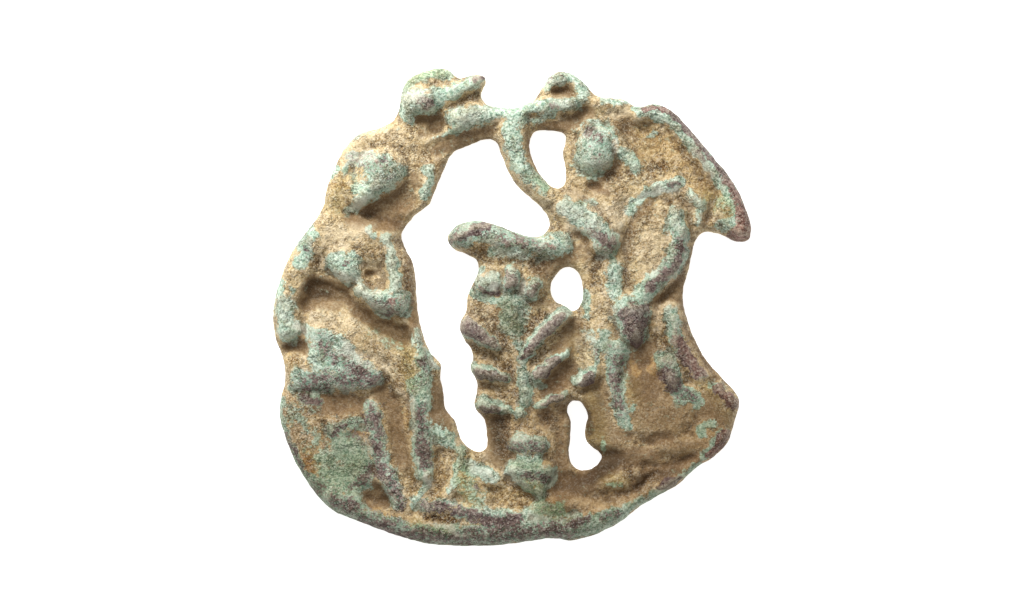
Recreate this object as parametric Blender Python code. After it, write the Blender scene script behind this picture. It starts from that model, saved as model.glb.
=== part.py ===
"""Openwork pilgrim badge, cast in one piece in copper alloy, lying flat on its back.

The scene is an annunciation: a seated figure on the left, a winged angel on the right, and between
them a lily in its pot under the angel's pointing arm. A bird sits at the top left and a ring at the
top, joined by a bar and a curved strap, and a strip of ground runs along the bottom.

The badge is a plate with an outer outline and four openings. Its front is sculpted in relief, its
edge has a rounded shoulder and a parting line, and its sides draw in a little to a flat back.
X runs to the angel's side, Y to the top of the scene and Z from the flat back to the relief.
Sizes are in millimetres until the mesh is made.
"""

import math

import bmesh
import bpy
import numpy as np
from mathutils import Vector
from mathutils.geometry import delaunay_2d_cdt

MM = 0.001

# Driving dimensions.
PLATE = 1.9            # thickness of the plain web between the figures
PARTING = 0.95         # height of the parting line, where the badge is widest
SHOULDER = 0.85        # width of the rounded edge of the front
DRAFT = 0.28           # how far the back is inset from the parting line
OUTLINE_STEP = 0.60    # spacing of the points along the outlines
SURFACE_STEP = 0.62    # spacing of the points on the front
EDGE_CLEARANCE = 0.34  # least distance between the outline and a point inside it
RISE_SHARE = 0.78      # share of its listed rise that a mass is given
CUT_SHARE = 0.62       # share of its listed depth that a hollow is given
LOWEST_FRONT = 1.25    # no hollow is cut below this
SOFTENING = 0.22       # heights are averaged over a ring of this radius, as in a worn casting
FLATNESS = 2.6         # 2 gives a form a round top, more a flatter one
FOOT = 0.28            # share of a form's rise that runs out around its foot
FOOT_FALL = 1.4        # how quickly the foot runs out
FORM_REACH = 2.8       # half widths out to which a form is worked out
MASS_BLEND = 5.0       # how sharply masses that overlap are told apart
DETAIL_BLEND = 8.0     # the same for details
HOLLOW_BLEND = 4.0     # the same for hollows

# Outer outline, clockwise from the nape of the seated figure.
OUTER = (
    # hood of the seated figure, and the bridge to the bird
    [(-17.5, 8.1), (-16.9, 9.3), (-16.65, 10.8), (-16.0, 12.4), (-15.1, 14.2), (-13.8, 15.55)]
    + [(-12.0, 16.1), (-10.75, 16.7), (-10.25, 17.5)]
    # bird
    + [(-9.9, 19.4), (-9.3, 20.5), (-8.0, 21.15), (-6.6, 21.5), (-5.7, 21.3), (-4.8, 20.6)]
    + [(-3.6, 20.85), (-2.6, 20.85), (-2.35, 20.3), (-2.8, 18.9), (-2.3, 18.25)]
    # bar, ring and the top edge behind the angel's head
    + [(-1.0, 17.95), (0.5, 17.98), (2.0, 18.7), (2.65, 19.6), (3.35, 20.7), (4.4, 21.2)]
    + [(5.6, 20.85), (6.6, 20.05), (7.6, 19.0), (9.0, 18.8), (10.3, 18.55), (11.2, 18.0)]
    # wing: leading edge, tip and the step back to the shoulder
    + [(12.8, 18.25), (14.2, 17.75), (16.0, 16.0), (18.0, 13.6), (19.8, 11.4), (20.9, 9.2)]
    + [(21.5, 7.2), (21.3, 6.1), (20.3, 5.85), (18.7, 6.55), (17.4, 6.75)]
    # angel's back and robe
    + [(16.55, 6.1), (16.15, 4.6), (15.85, 3.2), (15.4, 1.6), (15.5, -0.1), (16.2, -2.4)]
    + [(17.5, -4.8), (19.2, -6.7), (20.3, -8.0), (20.4, -9.0), (19.9, -10.7), (19.4, -12.2)]
    # ground
    + [(18.2, -13.45), (16.5, -14.5), (15.0, -15.95), (13.1, -17.0), (11.2, -18.15)]
    + [(9.8, -19.3), (7.6, -20.4), (5.3, -21.0), (3.6, -20.8), (0.0, -21.3), (-3.4, -21.5)]
    + [(-7.5, -21.3), (-10.5, -20.5), (-13.5, -19.4), (-16.2, -18.25), (-17.4, -17.1)]
    # skirt and back of the seated figure
    + [(-18.9, -15.0), (-20.1, -12.5), (-20.9, -9.8), (-20.8, -8.2), (-20.4, -6.5)]
    + [(-20.6, -4.6), (-21.2, -3.0), (-21.5, -1.0), (-21.3, 0.8), (-20.6, 3.2), (-19.6, 5.3)]
)

# The tall opening between the figures, clockwise from its top.
TALL_OPENING = (
    # strap and shoulder of the angel
    [(-2.2, 15.1), (-1.4, 14.85), (-0.95, 13.7), (-0.3, 12.1), (0.7, 10.65), (1.7, 9.8)]
    + [(2.8, 8.75), (3.4, 7.6), (3.1, 6.75), (2.2, 6.3)]
    # pointing arm
    + [(0.9, 6.5), (-1.0, 7.25), (-3.4, 7.75), (-5.0, 7.3), (-5.8, 6.2), (-5.3, 5.25)]
    + [(-4.3, 4.85), (-3.2, 4.2)]
    # lily
    + [(-3.0, 3.5), (-3.5, 2.1), (-4.0, 1.0), (-4.1, -0.3), (-4.7, -1.7), (-4.4, -2.8)]
    + [(-3.6, -3.9), (-3.55, -4.8), (-3.75, -5.5), (-3.15, -6.7), (-3.2, -7.8), (-3.35, -9.0)]
    + [(-2.5, -10.1), (-2.25, -11.3), (-2.35, -12.7)]
    # skirt, lap and chest of the seated figure
    + [(-2.8, -13.05), (-3.5, -12.9), (-4.6, -11.9), (-5.1, -10.3), (-6.05, -9.1)]
    + [(-6.15, -7.8), (-6.45, -6.4), (-6.45, -5.1), (-7.3, -4.2), (-8.1, -2.2), (-8.5, -0.2)]
    + [(-8.7, 2.5), (-8.95, 4.0), (-9.7, 5.5), (-9.95, 6.6), (-9.5, 7.35)]
    # web under the bird
    + [(-8.6, 8.4), (-7.5, 9.2), (-6.9, 10.6), (-6.25, 12.1), (-5.4, 13.8), (-4.0, 14.5)]
)

# The opening beside the angel's head, clockwise from its top left.
HEAD_OPENING = (
    [(2.1, 15.75), (3.3, 15.87), (4.5, 15.7), (4.87, 15.2), (4.6, 13.9), (4.8, 12.5)]
    + [(4.75, 11.1), (4.25, 10.65), (3.5, 10.9), (2.4, 12.1), (1.8, 13.4), (1.55, 14.8)]
)

# The opening under the pointing arm, clockwise from its top left.
ARM_OPENING = (
    [(4.7, 3.55), (5.5, 3.5), (6.15, 2.75), (6.4, 1.5), (6.15, 0.15), (5.6, -0.4)]
    + [(4.8, 0.1), (3.9, 0.45), (3.45, 1.8), (3.9, 2.8)]
)

# The crooked opening beside the pot, clockwise from its top left.
POT_OPENING = (
    [(5.45, -8.42), (6.2, -8.6), (6.82, -9.7), (6.57, -11.0), (6.85, -12.3), (7.7, -12.9)]
    + [(8.08, -13.4), (7.5, -14.35), (6.6, -14.7), (5.7, -14.5), (5.12, -13.5)]
    + [(5.2, -11.9), (5.3, -10.4), (4.95, -9.1)]
)

OPENINGS = (TALL_OPENING, HEAD_OPENING, ARM_OPENING, POT_OPENING)

# Relief. Each form is (path, half widths, rises): its width and its rise run evenly from the first
# value at the start of the path to the second at its end. Masses are the large volumes, which blend
# into each other. Details stand on the masses, and hollows are cut into both.
MASSES = [
    # seated figure: veil, head, nape, breast, back
    ([(-15.8, 11.0), (-14.6, 13.6), (-12.4, 14.9), (-9.6, 15.2)], (1.4, 1.4), (0.5, 0.4)),
    ([(-13.5, 10.6), (-11.7, 12.2)], (1.75, 2.3), (1.9, 2.2)),
    ([(-15.6, 10.6), (-15.9, 9.2)], (1.2, 1.3), (0.8, 0.9)),
    ([(-16.6, 6.4), (-13.6, 6.4), (-11.6, 6.4)], (2.1, 1.4), (1.5, 1.2)),
    ([(-15.3, 4.6), (-15.0, 3.5)], (1.55, 1.4), (1.9, 1.9)),
    ([(-13.3, 5.0), (-12.0, 4.9)], (1.1, 1.0), (1.0, 1.0)),
    ([(-17.6, 6.6), (-18.8, 4.2), (-20.1, 1.0), (-20.2, -1.9)], (1.5, 1.25), (1.4, 1.5)),
    # seated figure: forearms, lap, thigh
    ([(-11.5, 6.4), (-10.9, 5.0), (-10.5, 3.0)], (0.8, 0.9), (1.5, 1.6)),
    ([(-13.3, 1.1), (-11.6, 0.6), (-10.3, 0.8)], (0.95, 1.25), (1.8, 1.9)),
    ([(-9.6, 4.6), (-9.4, 1.2)], (0.7, 0.7), (0.7, 0.7)),
    ([(-17.0, -1.2), (-14.0, -2.4), (-11.8, -3.6)], (1.9, 1.5), (1.3, 1.2)),
    ([(-17.2, -4.9), (-14.8, -5.4), (-13.0, -5.9)], (2.9, 1.9), (1.5, 1.4)),
    ([(-20.0, -5.2), (-19.4, -6.6)], (1.0, 1.0), (0.8, 0.9)),
    ([(-10.2, -4.2), (-9.8, -7.4)], (1.2, 0.9), (0.9, 0.7)),
    # seated figure: skirt and its folds
    ([(-18.4, -9.8), (-17.2, -13.0), (-14.6, -15.4)], (2.6, 2.4), (0.8, 0.9)),
    ([(-15.0, -11.0), (-14.0, -13.4)], (1.7, 1.8), (1.2, 1.2)),
    (
        [(-12.6, -9.2), (-12.2, -11.2), (-11.6, -14.0), (-10.6, -16.2), (-9.6, -18.0)],
        (0.9, 0.8),
        (0.7, 0.9),
    ),
    ([(-8.6, -2.6), (-8.2, -8.0), (-8.0, -14.6)], (1.0, 1.05), (1.2, 1.0)),
    ([(-6.4, -10.6), (-5.6, -12.0)], (1.2, 1.0), (0.7, 0.6)),
    ([(-4.7, -12.2), (-4.7, -14.2), (-5.2, -16.0), (-7.0, -17.8)], (0.6, 0.55), (0.9, 0.7)),
    # ground
    ([(-15.8, -16.8), (-12.0, -18.9), (-7.0, -19.9), (0.0, -20.0), (5.0, -19.7)], (1.2, 1.1), (1.0, 1.0)),
    ([(5.0, -19.7), (8.6, -18.8), (12.2, -17.0), (14.8, -15.5), (17.2, -13.8)], (1.1, 0.9), (1.0, 0.8)),
    ([(-3.4, -14.0), (-0.8, -14.4)], (0.9, 0.8), (0.6, 0.6)),
    ([(-4.0, -16.0), (-2.9, -17.2)], (1.1, 1.0), (0.9, 0.7)),
    ([(-7.4, -17.9), (-5.2, -18.2), (-2.6, -18.6), (0.8, -19.0)], (0.7, 0.6), (1.2, 1.1)),
    ([(2.6, -18.2), (4.4, -18.0)], (1.1, 1.0), (0.9, 0.8)),
    # pot and lily
    ([(0.9, -12.2), (2.1, -12.3)], (1.25, 1.2), (1.4, 1.3)),
    ([(0.3, -14.5), (3.2, -14.6)], (0.75, 0.85), (1.3, 1.4)),
    ([(1.9, -15.0), (2.3, -15.9), (2.7, -16.8)], (1.75, 0.45), (1.4, 1.1)),
    ([(1.1, -13.5), (1.9, -13.6)], (0.8, 0.8), (0.8, 0.8)),
    ([(-2.0, 2.4), (0.2, 2.7), (1.9, 2.0)], (1.5, 1.3), (0.9, 0.9)),
    ([(-0.6, 0.4), (0.0, -1.4)], (1.9, 1.1), (0.6, 0.6)),
    ([(0.0, 0.4), (0.2, -2.4), (0.6, -4.2), (1.0, -6.2), (1.3, -8.6)], (0.9, 0.5), (0.9, 0.8)),
    ([(-4.0, -1.8), (-2.8, -2.5), (-1.5, -3.6)], (1.2, 0.7), (1.6, 1.1)),
    ([(-3.2, -5.8), (-2.0, -5.9), (-0.8, -6.4)], (0.8, 0.5), (1.4, 0.9)),
    ([(-2.6, -8.8), (-1.5, -9.1), (-0.5, -9.3)], (0.7, 0.45), (1.3, 0.8)),
    ([(4.6, -0.8), (3.2, -1.8), (2.0, -3.2), (1.1, -4.4)], (0.85, 0.65), (1.5, 1.0)),
    ([(4.9, -4.1), (3.6, -4.9), (2.4, -6.0)], (0.75, 0.8), (1.3, 1.0)),
    ([(4.6, -8.0), (3.5, -8.3), (2.5, -8.9)], (0.45, 0.45), (1.0, 0.8)),
    ([(7.1, -6.1), (6.0, -6.8)], (0.6, 0.5), (1.1, 0.9)),
    ([(0.6, -9.4), (0.7, -9.6)], (0.55, 0.5), (0.9, 0.8)),
    # pointing arm
    ([(-4.5, 6.3), (-2.0, 6.4), (0.8, 5.6), (4.2, 5.6)], (1.5, 1.25), (1.6, 1.3)),
    # angel: head, hair, arms, breast and hand
    ([(7.4, 13.7), (7.6, 14.6)], (1.9, 1.85), (2.1, 2.0)),
    ([(9.0, 15.6), (9.8, 14.2), (11.2, 12.6)], (0.8, 0.7), (1.0, 0.8)),
    ([(8.4, 9.8), (11.4, 10.9), (14.2, 11.5)], (1.3, 0.8), (0.7, 0.6)),
    ([(4.6, 9.1), (6.8, 7.6), (8.6, 5.7)], (1.6, 1.5), (1.4, 1.8)),
    ([(12.6, 7.6), (12.2, 3.2)], (2.1, 1.8), (0.9, 0.9)),
    ([(14.7, 8.6), (14.9, 6.2), (14.4, 4.0), (12.0, 1.4)], (0.9, 1.2), (1.3, 1.7)),
    ([(9.0, 4.0), (9.0, 1.0)], (1.2, 1.1), (0.9, 0.9)),
    ([(10.7, -0.3), (10.9, -2.1)], (1.9, 1.3), (1.9, 1.6)),
    ([(7.6, 0.5), (7.9, -2.5), (7.8, -5.0)], (1.4, 1.3), (0.8, 1.0)),
    # angel: folds of the robe, its knee and its hem
    ([(9.4, -3.4), (9.1, -5.6), (9.2, -7.4), (9.9, -9.2), (10.4, -10.8)], (0.95, 0.5), (1.3, 0.7)),
    ([(14.2, -0.2), (14.8, -2.6), (15.8, -4.6), (17.0, -6.2)], (1.0, 0.9), (1.2, 1.0)),
    ([(14.0, -5.0), (14.4, -6.4)], (1.0, 1.2), (1.2, 1.2)),
    ([(14.6, -7.2), (15.8, -7.6), (16.3, -8.8)], (0.8, 0.6), (1.0, 0.6)),
    ([(12.4, -8.2), (13.6, -9.4)], (3.0, 2.7), (1.1, 1.2)),
    ([(17.0, -8.0), (18.4, -9.6), (17.6, -11.2)], (1.5, 1.4), (0.8, 0.7)),
    ([(18.4, -7.3), (20.2, -8.7)], (0.8, 0.7), (1.0, 1.0)),
    ([(19.0, -11.3), (17.8, -13.3)], (0.7, 0.6), (0.9, 0.8)),
    ([(13.6, -12.5), (17.2, -12.3)], (0.9, 0.8), (0.8, 0.7)),
    # wing
    (
        [(11.4, 17.3), (12.8, 17.6), (14.4, 16.9), (16.9, 14.1), (19.3, 11.0), (20.9, 7.2)],
        (0.85, 1.1),
        (0.9, 1.3),
    ),
    ([(19.3, 8.6), (20.6, 7.3)], (1.3, 1.1), (1.1, 1.3)),
    ([(7.6, 18.4), (10.4, 18.2)], (0.8, 0.7), (0.7, 0.5)),
    ([(16.0, 10.3), (17.0, 9.2), (17.1, 8.2)], (0.7, 0.6), (0.8, 0.6)),
    # strap, bar, ring and bird
    ([(0.1, 17.2), (0.2, 14.6), (1.1, 12.2), (3.0, 10.4)], (1.3, 1.3), (1.2, 1.1)),
    ([(-4.5, 16.9), (-2.6, 17.3), (0.0, 17.7)], (1.25, 0.85), (1.4, 0.9)),
    ([(0.0, 17.7), (2.6, 18.1), (5.2, 18.1)], (0.85, 0.85), (1.0, 1.2)),
    ([(3.0, 19.6), (3.6, 20.4), (5.0, 20.6), (6.2, 19.8), (6.4, 18.8)], (0.85, 0.85), (0.9, 0.9)),
    ([(-8.4, 18.4), (-7.8, 18.5)], (1.65, 1.55), (1.8, 1.8)),
    ([(-7.0, 18.9), (-5.2, 19.3), (-3.4, 20.2)], (1.15, 0.9), (1.2, 1.1)),
    ([(-9.4, 20.0), (-8.0, 20.8), (-5.9, 20.8)], (0.9, 0.8), (0.8, 0.7)),
    ([(-9.4, 17.6), (-9.1, 16.9)], (0.8, 0.6), (1.0, 0.8)),
    ([(-8.4, 20.2), (-6.4, 20.3)], (0.6, 0.6), (0.7, 0.6)),
]

DETAILS = [
    # bird and bar
    ([(-4.9, 16.8), (-3.4, 17.3)], (0.6, 0.5), (0.3, 0.2)),
    # seated figure
    ([(-12.2, 10.7), (-13.4, 9.9), (-14.1, 9.1)], (0.7, 0.65), (0.5, 0.4)),
    ([(-14.0, 13.1), (-12.2, 13.2)], (0.7, 0.7), (0.15, 0.15)),
    ([(-7.6, 12.4), (-7.5, 11.4), (-8.1, 10.1)], (0.5, 0.4), (0.35, 0.3)),
    ([(-12.9, 6.9), (-12.5, 6.4)], (0.45, 0.4), (0.35, 0.3)),
    ([(-11.4, 6.2), (-10.8, 4.4), (-10.5, 2.2)], (0.4, 0.45), (0.2, 0.3)),
    ([(-17.8, -2.2), (-16.0, -2.6), (-14.6, -3.6)], (0.6, 0.6), (0.3, 0.3)),
    ([(-16.2, -10.4), (-15.6, -12.4)], (0.5, 0.5), (0.3, 0.2)),
    ([(-13.4, -15.2), (-11.4, -15.6)], (0.6, 0.5), (0.3, 0.3)),
    # pointing arm
    ([(-5.0, 6.2), (-3.6, 6.9), (-2.3, 7.4)], (0.5, 0.4), (0.35, 0.3)),
    ([(-1.2, 6.0), (1.8, 5.5), (3.8, 5.4)], (0.5, 0.5), (0.2, 0.2)),
    # lily buds
    ([(-2.5, 2.3), (-1.7, 2.4)], (0.95, 0.95), (0.7, 0.7)),
    ([(-0.1, 2.1), (0.1, 3.2)], (0.75, 0.7), (0.9, 0.7)),
    ([(1.8, 1.5), (2.1, 2.1)], (0.8, 0.65), (0.7, 0.6)),
    # angel
    ([(15.0, 11.2), (13.4, 10.9), (11.7, 10.1), (10.7, 8.9), (10.0, 7.2)], (0.55, 0.6), (0.7, 0.5)),
    ([(14.5, 8.7), (14.6, 7.6), (15.2, 6.6)], (0.45, 0.45), (0.35, 0.35)),
    ([(10.9, -0.2), (11.0, -2.6)], (0.9, 0.5), (0.35, 0.3)),
    ([(14.2, -6.0), (14.5, -6.6)], (0.7, 0.7), (0.3, 0.3)),
    ([(13.1, -4.8), (12.7, -5.6)], (0.45, 0.4), (0.35, 0.3)),
    ([(13.2, -16.3), (15.4, -15.2)], (0.6, 0.5), (0.5, 0.4)),
    ([(6.6, -16.3), (8.4, -15.6), (10.2, -15.5)], (0.9, 0.8), (0.45, 0.5)),
    ([(5.2, -17.5), (8.2, -17.8)], (0.8, 0.6), (0.4, 0.4)),
]

HOLLOWS = [
    # seated figure
    ([(-13.4, 8.5), (-11.4, 8.9), (-9.6, 10.0)], (1.0, 1.5), (0.9, 1.0)),
    ([(-11.4, 7.7), (-10.2, 7.6)], (0.9, 0.8), (0.9, 0.9)),
    ([(-18.1, 1.6), (-16.8, 2.0), (-15.5, 1.5), (-14.4, 0.8)], (1.2, 0.8), (3.0, 2.2)),
    ([(-18.4, 0.4), (-17.0, 0.9)], (0.8, 0.8), (0.9, 0.9)),
    ([(-14.2, 0.2), (-12.8, -1.2), (-11.2, -1.9), (-9.9, -2.2)], (0.7, 0.9), (1.5, 1.3)),
    ([(-13.1, 3.2), (-12.3, 3.1)], (0.5, 0.4), (0.9, 0.7)),
    ([(-13.4, 2.6), (-11.6, 2.2)], (0.6, 0.5), (0.35, 0.35)),
    ([(-20.5, -3.4), (-19.2, -3.8)], (0.6, 0.7), (1.2, 1.3)),
    ([(-17.0, -8.5), (-13.6, -8.4)], (1.0, 0.8), (0.4, 0.5)),
    ([(-19.6, -7.7), (-17.6, -8.0)], (0.4, 0.5), (0.3, 0.35)),
    ([(-11.3, -7.4), (-10.6, -10.0), (-10.2, -13.4)], (0.95, 0.85), (0.7, 0.6)),
    ([(-6.5, -13.2), (-6.4, -16.2)], (0.9, 0.8), (0.5, 0.5)),
    ([(-9.2, -14.9), (-8.9, -16.4)], (0.6, 0.5), (0.5, 0.4)),
    ([(-13.0, -16.5), (-11.8, -16.7)], (0.9, 0.8), (0.7, 0.7)),
    ([(-13.3, -17.2), (-11.4, -17.4)], (0.6, 0.7), (0.7, 1.3)),
    # bird, bar and ring
    ([(-8.0, 16.9), (-6.9, 16.9), (-6.6, 16.5)], (0.7, 1.0), (0.8, 1.4)),
    ([(-5.8, 17.9), (-4.4, 18.7), (-3.2, 19.0)], (0.45, 0.5), (0.6, 0.7)),
    ([(-7.4, 14.0), (-6.0, 14.5), (-4.2, 15.0), (-2.4, 15.4)], (0.8, 0.9), (0.7, 0.6)),
    ([(1.4, 16.2), (4.2, 16.6), (6.4, 17.6)], (0.6, 0.7), (0.7, 0.8)),
    # wing
    ([(12.0, 15.9), (14.6, 14.6), (16.8, 12.2), (18.0, 10.6)], (0.9, 0.8), (0.6, 0.5)),
    ([(9.8, 16.4), (11.6, 15.6)], (0.9, 0.9), (0.6, 0.5)),
    ([(18.3, 10.4), (17.9, 9.2), (17.6, 8.0)], (0.35, 0.6), (0.6, 0.9)),
    # angel
    ([(8.5, 11.6), (9.6, 12.8)], (0.5, 0.5), (0.5, 0.4)),
    ([(13.6, 10.0), (12.4, 9.4), (11.4, 8.3), (10.6, 6.9), (10.0, 5.6)], (0.5, 0.5), (0.7, 0.7)),
    ([(15.4, 2.8), (14.2, 1.4), (13.2, 0.4)], (0.8, 0.8), (0.4, 0.5)),
    ([(7.8, 4.4), (7.4, 3.0)], (0.6, 0.5), (0.5, 0.4)),
    ([(13.0, -0.2), (12.9, -1.6), (12.8, -3.2)], (0.5, 0.5), (0.6, 0.6)),
    ([(11.6, -4.4), (11.2, -5.6)], (0.9, 0.9), (0.3, 0.3)),
    ([(11.5, -5.6), (12.0, -5.0)], (0.6, 0.5), (0.5, 0.6)),
    ([(11.8, -12.0), (14.0, -11.9)], (0.6, 0.5), (0.5, 0.35)),
    ([(8.2, -13.4), (9.6, -13.4)], (1.0, 0.8), (1.2, 0.7)),
    ([(4.8, -15.4), (6.6, -15.3), (8.6, -14.6)], (0.9, 0.8), (1.1, 0.9)),
    # lily and pot
    ([(-3.4, -3.7), (-2.4, -4.3), (-1.4, -4.7)], (0.7, 0.5), (0.5, 0.5)),
    ([(5.2, -2.0), (4.2, -3.3), (3.0, -4.4)], (1.0, 0.7), (0.45, 0.4)),
    ([(5.0, -5.6), (4.0, -6.7), (2.8, -7.4)], (1.1, 0.8), (0.6, 0.6)),
    ([(4.4, -9.8), (2.8, -10.2)], (0.9, 0.8), (0.7, 0.7)),
    ([(6.2, -7.6), (7.6, -7.2)], (0.5, 0.5), (0.6, 0.5)),
    ([(-1.3, -10.4), (-1.3, -12.6)], (1.1, 1.0), (0.8, 0.7)),
    ([(4.2, -10.6), (4.3, -13.6), (4.4, -16.2)], (0.8, 0.7), (0.8, 0.7)),
    ([(-1.4, -16.9), (1.0, -17.6)], (0.8, 0.7), (0.4, 0.4)),
]


def smooth_path(points, closed):
    """Points of a centripetal Catmull-Rom curve through the given points, about 0.1 mm apart."""
    points = np.array(points, dtype=float)
    if closed:
        points = np.vstack([points[-1:], points, points[:2]])
    else:
        points = np.vstack([2 * points[:1] - points[1:2], points, 2 * points[-1:] - points[-2:-1]])
    curve = []
    for p0, p1, p2, p3 in zip(points, points[1:], points[2:], points[3:]):
        t1 = math.sqrt(np.linalg.norm(p1 - p0))
        t2 = t1 + math.sqrt(np.linalg.norm(p2 - p1))
        t3 = t2 + math.sqrt(np.linalg.norm(p3 - p2))
        count = max(2, round(np.linalg.norm(p2 - p1) / 0.1))
        t = np.linspace(t1, t2, count, endpoint=False)[:, None]
        a1 = (t1 - t) / t1 * p0 + t / t1 * p1
        a2 = (t2 - t) / (t2 - t1) * p1 + (t - t1) / (t2 - t1) * p2
        a3 = (t3 - t) / (t3 - t2) * p2 + (t - t2) / (t3 - t2) * p3
        b1 = (t2 - t) / t2 * a1 + t / t2 * a2
        b2 = (t3 - t) / (t3 - t1) * a2 + (t - t1) / (t3 - t1) * a3
        curve.append((t2 - t) / (t2 - t1) * b1 + (t - t1) / (t2 - t1) * b2)
    if not closed:
        curve.append(points[-2:-1])
    return np.vstack(curve)


def evenly_spaced(loop, step):
    """Points spaced evenly along a closed loop, as near to the given step as fits."""
    ends = np.vstack([loop, loop[:1]])
    along = np.concatenate([[0.0], np.cumsum(np.linalg.norm(np.diff(ends, axis=0), axis=1))])
    wanted = np.linspace(0.0, along[-1], round(along[-1] / step), endpoint=False)
    return np.column_stack([np.interp(wanted, along, ends[:, axis]) for axis in (0, 1)])


def distance_to_path(spots, path):
    """Distance of each spot to a path, and how far along the path its nearest point lies, 0 to 1."""
    starts = path[:-1]
    runs = path[1:] - starts
    lengths = np.linalg.norm(runs, axis=1)
    along = np.concatenate([[0.0], np.cumsum(lengths)])
    nearest = np.full(len(spots), np.inf)
    place = np.zeros(len(spots))
    for start, run, length, before in zip(starts, runs, lengths, along):
        share = np.clip((spots - start) @ run / length**2, 0.0, 1.0)
        distance = np.linalg.norm(spots - start - share[:, None] * run, axis=1)
        closer = distance < nearest
        nearest[closer] = distance[closer]
        place[closer] = (before + share[closer] * length) / along[-1]
    return nearest, place


def inside_loop(spots, loop):
    """Whether each spot lies inside a closed loop, by counting crossings to its right."""
    odd = np.zeros(len(spots), dtype=bool)
    for (x1, y1), (x2, y2) in zip(loop, np.roll(loop, -1, axis=0)):
        if y1 == y2:
            continue
        spans = (y1 > spots[:, 1]) != (y2 > spots[:, 1])
        crossing = x1 + (spots[:, 1] - y1) * (x2 - x1) / (y2 - y1)
        odd ^= spans & (spots[:, 0] < crossing)
    return odd


def inside_badge(spots, loops):
    """Whether each spot is on material: inside the outer loop, the first, and in no opening."""
    inside = inside_loop(spots, loops[0])
    for loop in loops[1:]:
        inside &= ~inside_loop(spots, loop)
    return inside


def distance_to_edge(spots, loops):
    """Distance of each spot to the nearest outline."""
    return np.min([distance_to_path(spots, np.vstack([loop, loop[:1]]))[0] for loop in loops], axis=0)


def inset(loop, amount, towards_left):
    """A closed loop moved sideways by an amount."""
    direction = np.roll(loop, -1, axis=0) - np.roll(loop, 1, axis=0)
    direction /= np.linalg.norm(direction, axis=1)[:, None]
    left = np.column_stack([-direction[:, 1], direction[:, 0]])
    return loop + (amount if towards_left else -amount) * left


def domed(out):
    """Height of a form, 1 at its middle, at a distance in half widths: steep, with a soft foot."""
    body = np.sqrt(np.clip(1.0 - out**FLATNESS, 0.0, None))
    return (1.0 - FOOT) * body + FOOT * np.exp(-FOOT_FALL * out**2)


def dished(out):
    """Depth of a hollow, 1 at its middle, at a distance in half widths."""
    return np.clip(1.0 - out**2, 0.0, None)


def relief_layer(spots, forms, profile, blend):
    """Height of a layer of forms over each spot: the highest there, blended where forms meet."""
    total = np.zeros(len(spots))
    for points, widths, rises in forms:
        path = smooth_path(points, closed=False)[::3]
        reach = FORM_REACH * max(widths)
        near = np.all((spots > path.min(axis=0) - reach) & (spots < path.max(axis=0) + reach), axis=1)
        distance, place = distance_to_path(spots[near], path)
        width = widths[0] + (widths[1] - widths[0]) * place
        rise = rises[0] + (rises[1] - rises[0]) * place
        total[near] += (rise * profile(distance / width)) ** blend
    return total ** (1.0 / blend)


def sculpted(spots):
    """Height of plate and relief over each spot, without the rounding of the edge."""
    height = PLATE + RISE_SHARE * relief_layer(spots, MASSES, domed, MASS_BLEND)
    height += relief_layer(spots, DETAILS, domed, DETAIL_BLEND)
    return height - CUT_SHARE * relief_layer(spots, HOLLOWS, dished, HOLLOW_BLEND)


def front_height(spots, loops):
    """Height of the front above the back: softened relief and the rounded shoulder of the edge."""
    ring = [(0.0, 0.0)]
    for turn in np.linspace(0.0, 2.0 * math.pi, 6, endpoint=False):
        ring.append((SOFTENING * math.cos(turn), SOFTENING * math.sin(turn)))
    height = np.mean([sculpted(spots + np.array(shift)) for shift in ring], axis=0)
    height = np.maximum(height, LOWEST_FRONT)
    reach = np.clip(distance_to_edge(spots, loops) / SHOULDER, 0.0, 1.0)
    return PARTING + (height - PARTING) * np.sqrt(1.0 - (1.0 - reach) ** 2)


def surface_points(loops):
    """Points of a triangular grid over the material, clear of the outlines."""
    low = loops[0].min(axis=0)
    high = loops[0].max(axis=0)
    row_step = SURFACE_STEP * math.sqrt(3.0) / 2.0
    rows = np.arange(low[1], high[1], row_step)
    spots = []
    for number, y in enumerate(rows):
        shift = SURFACE_STEP / 2.0 * (number % 2)
        spots += [(x, y) for x in np.arange(low[0] + shift, high[0], SURFACE_STEP)]
    spots = np.array(spots)
    spots = spots[inside_badge(spots, loops)]
    return spots[distance_to_edge(spots, loops) > EDGE_CLEARANCE]


def triangles_between(loops, extra):
    """Triangles over the material, from the loops' points followed by the extra points."""
    spots = np.vstack([*loops, extra]) if len(extra) else np.vstack(loops)
    edges = []
    first = 0
    for loop in loops:
        numbers = range(first, first + len(loop))
        edges += [(n, first + (n - first + 1) % len(loop)) for n in numbers]
        first += len(loop)
    corners, _, faces, origins, _, _ = delaunay_2d_cdt([Vector(s) for s in spots], edges, [], 0, 1e-7)
    if len(corners) != len(spots):
        raise ValueError("two outline points coincide or two outlines cross")
    faces = np.array([[origins[corner][0] for corner in face] for face in faces])
    return faces[inside_badge(spots[faces].mean(axis=1), loops)]


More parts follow.
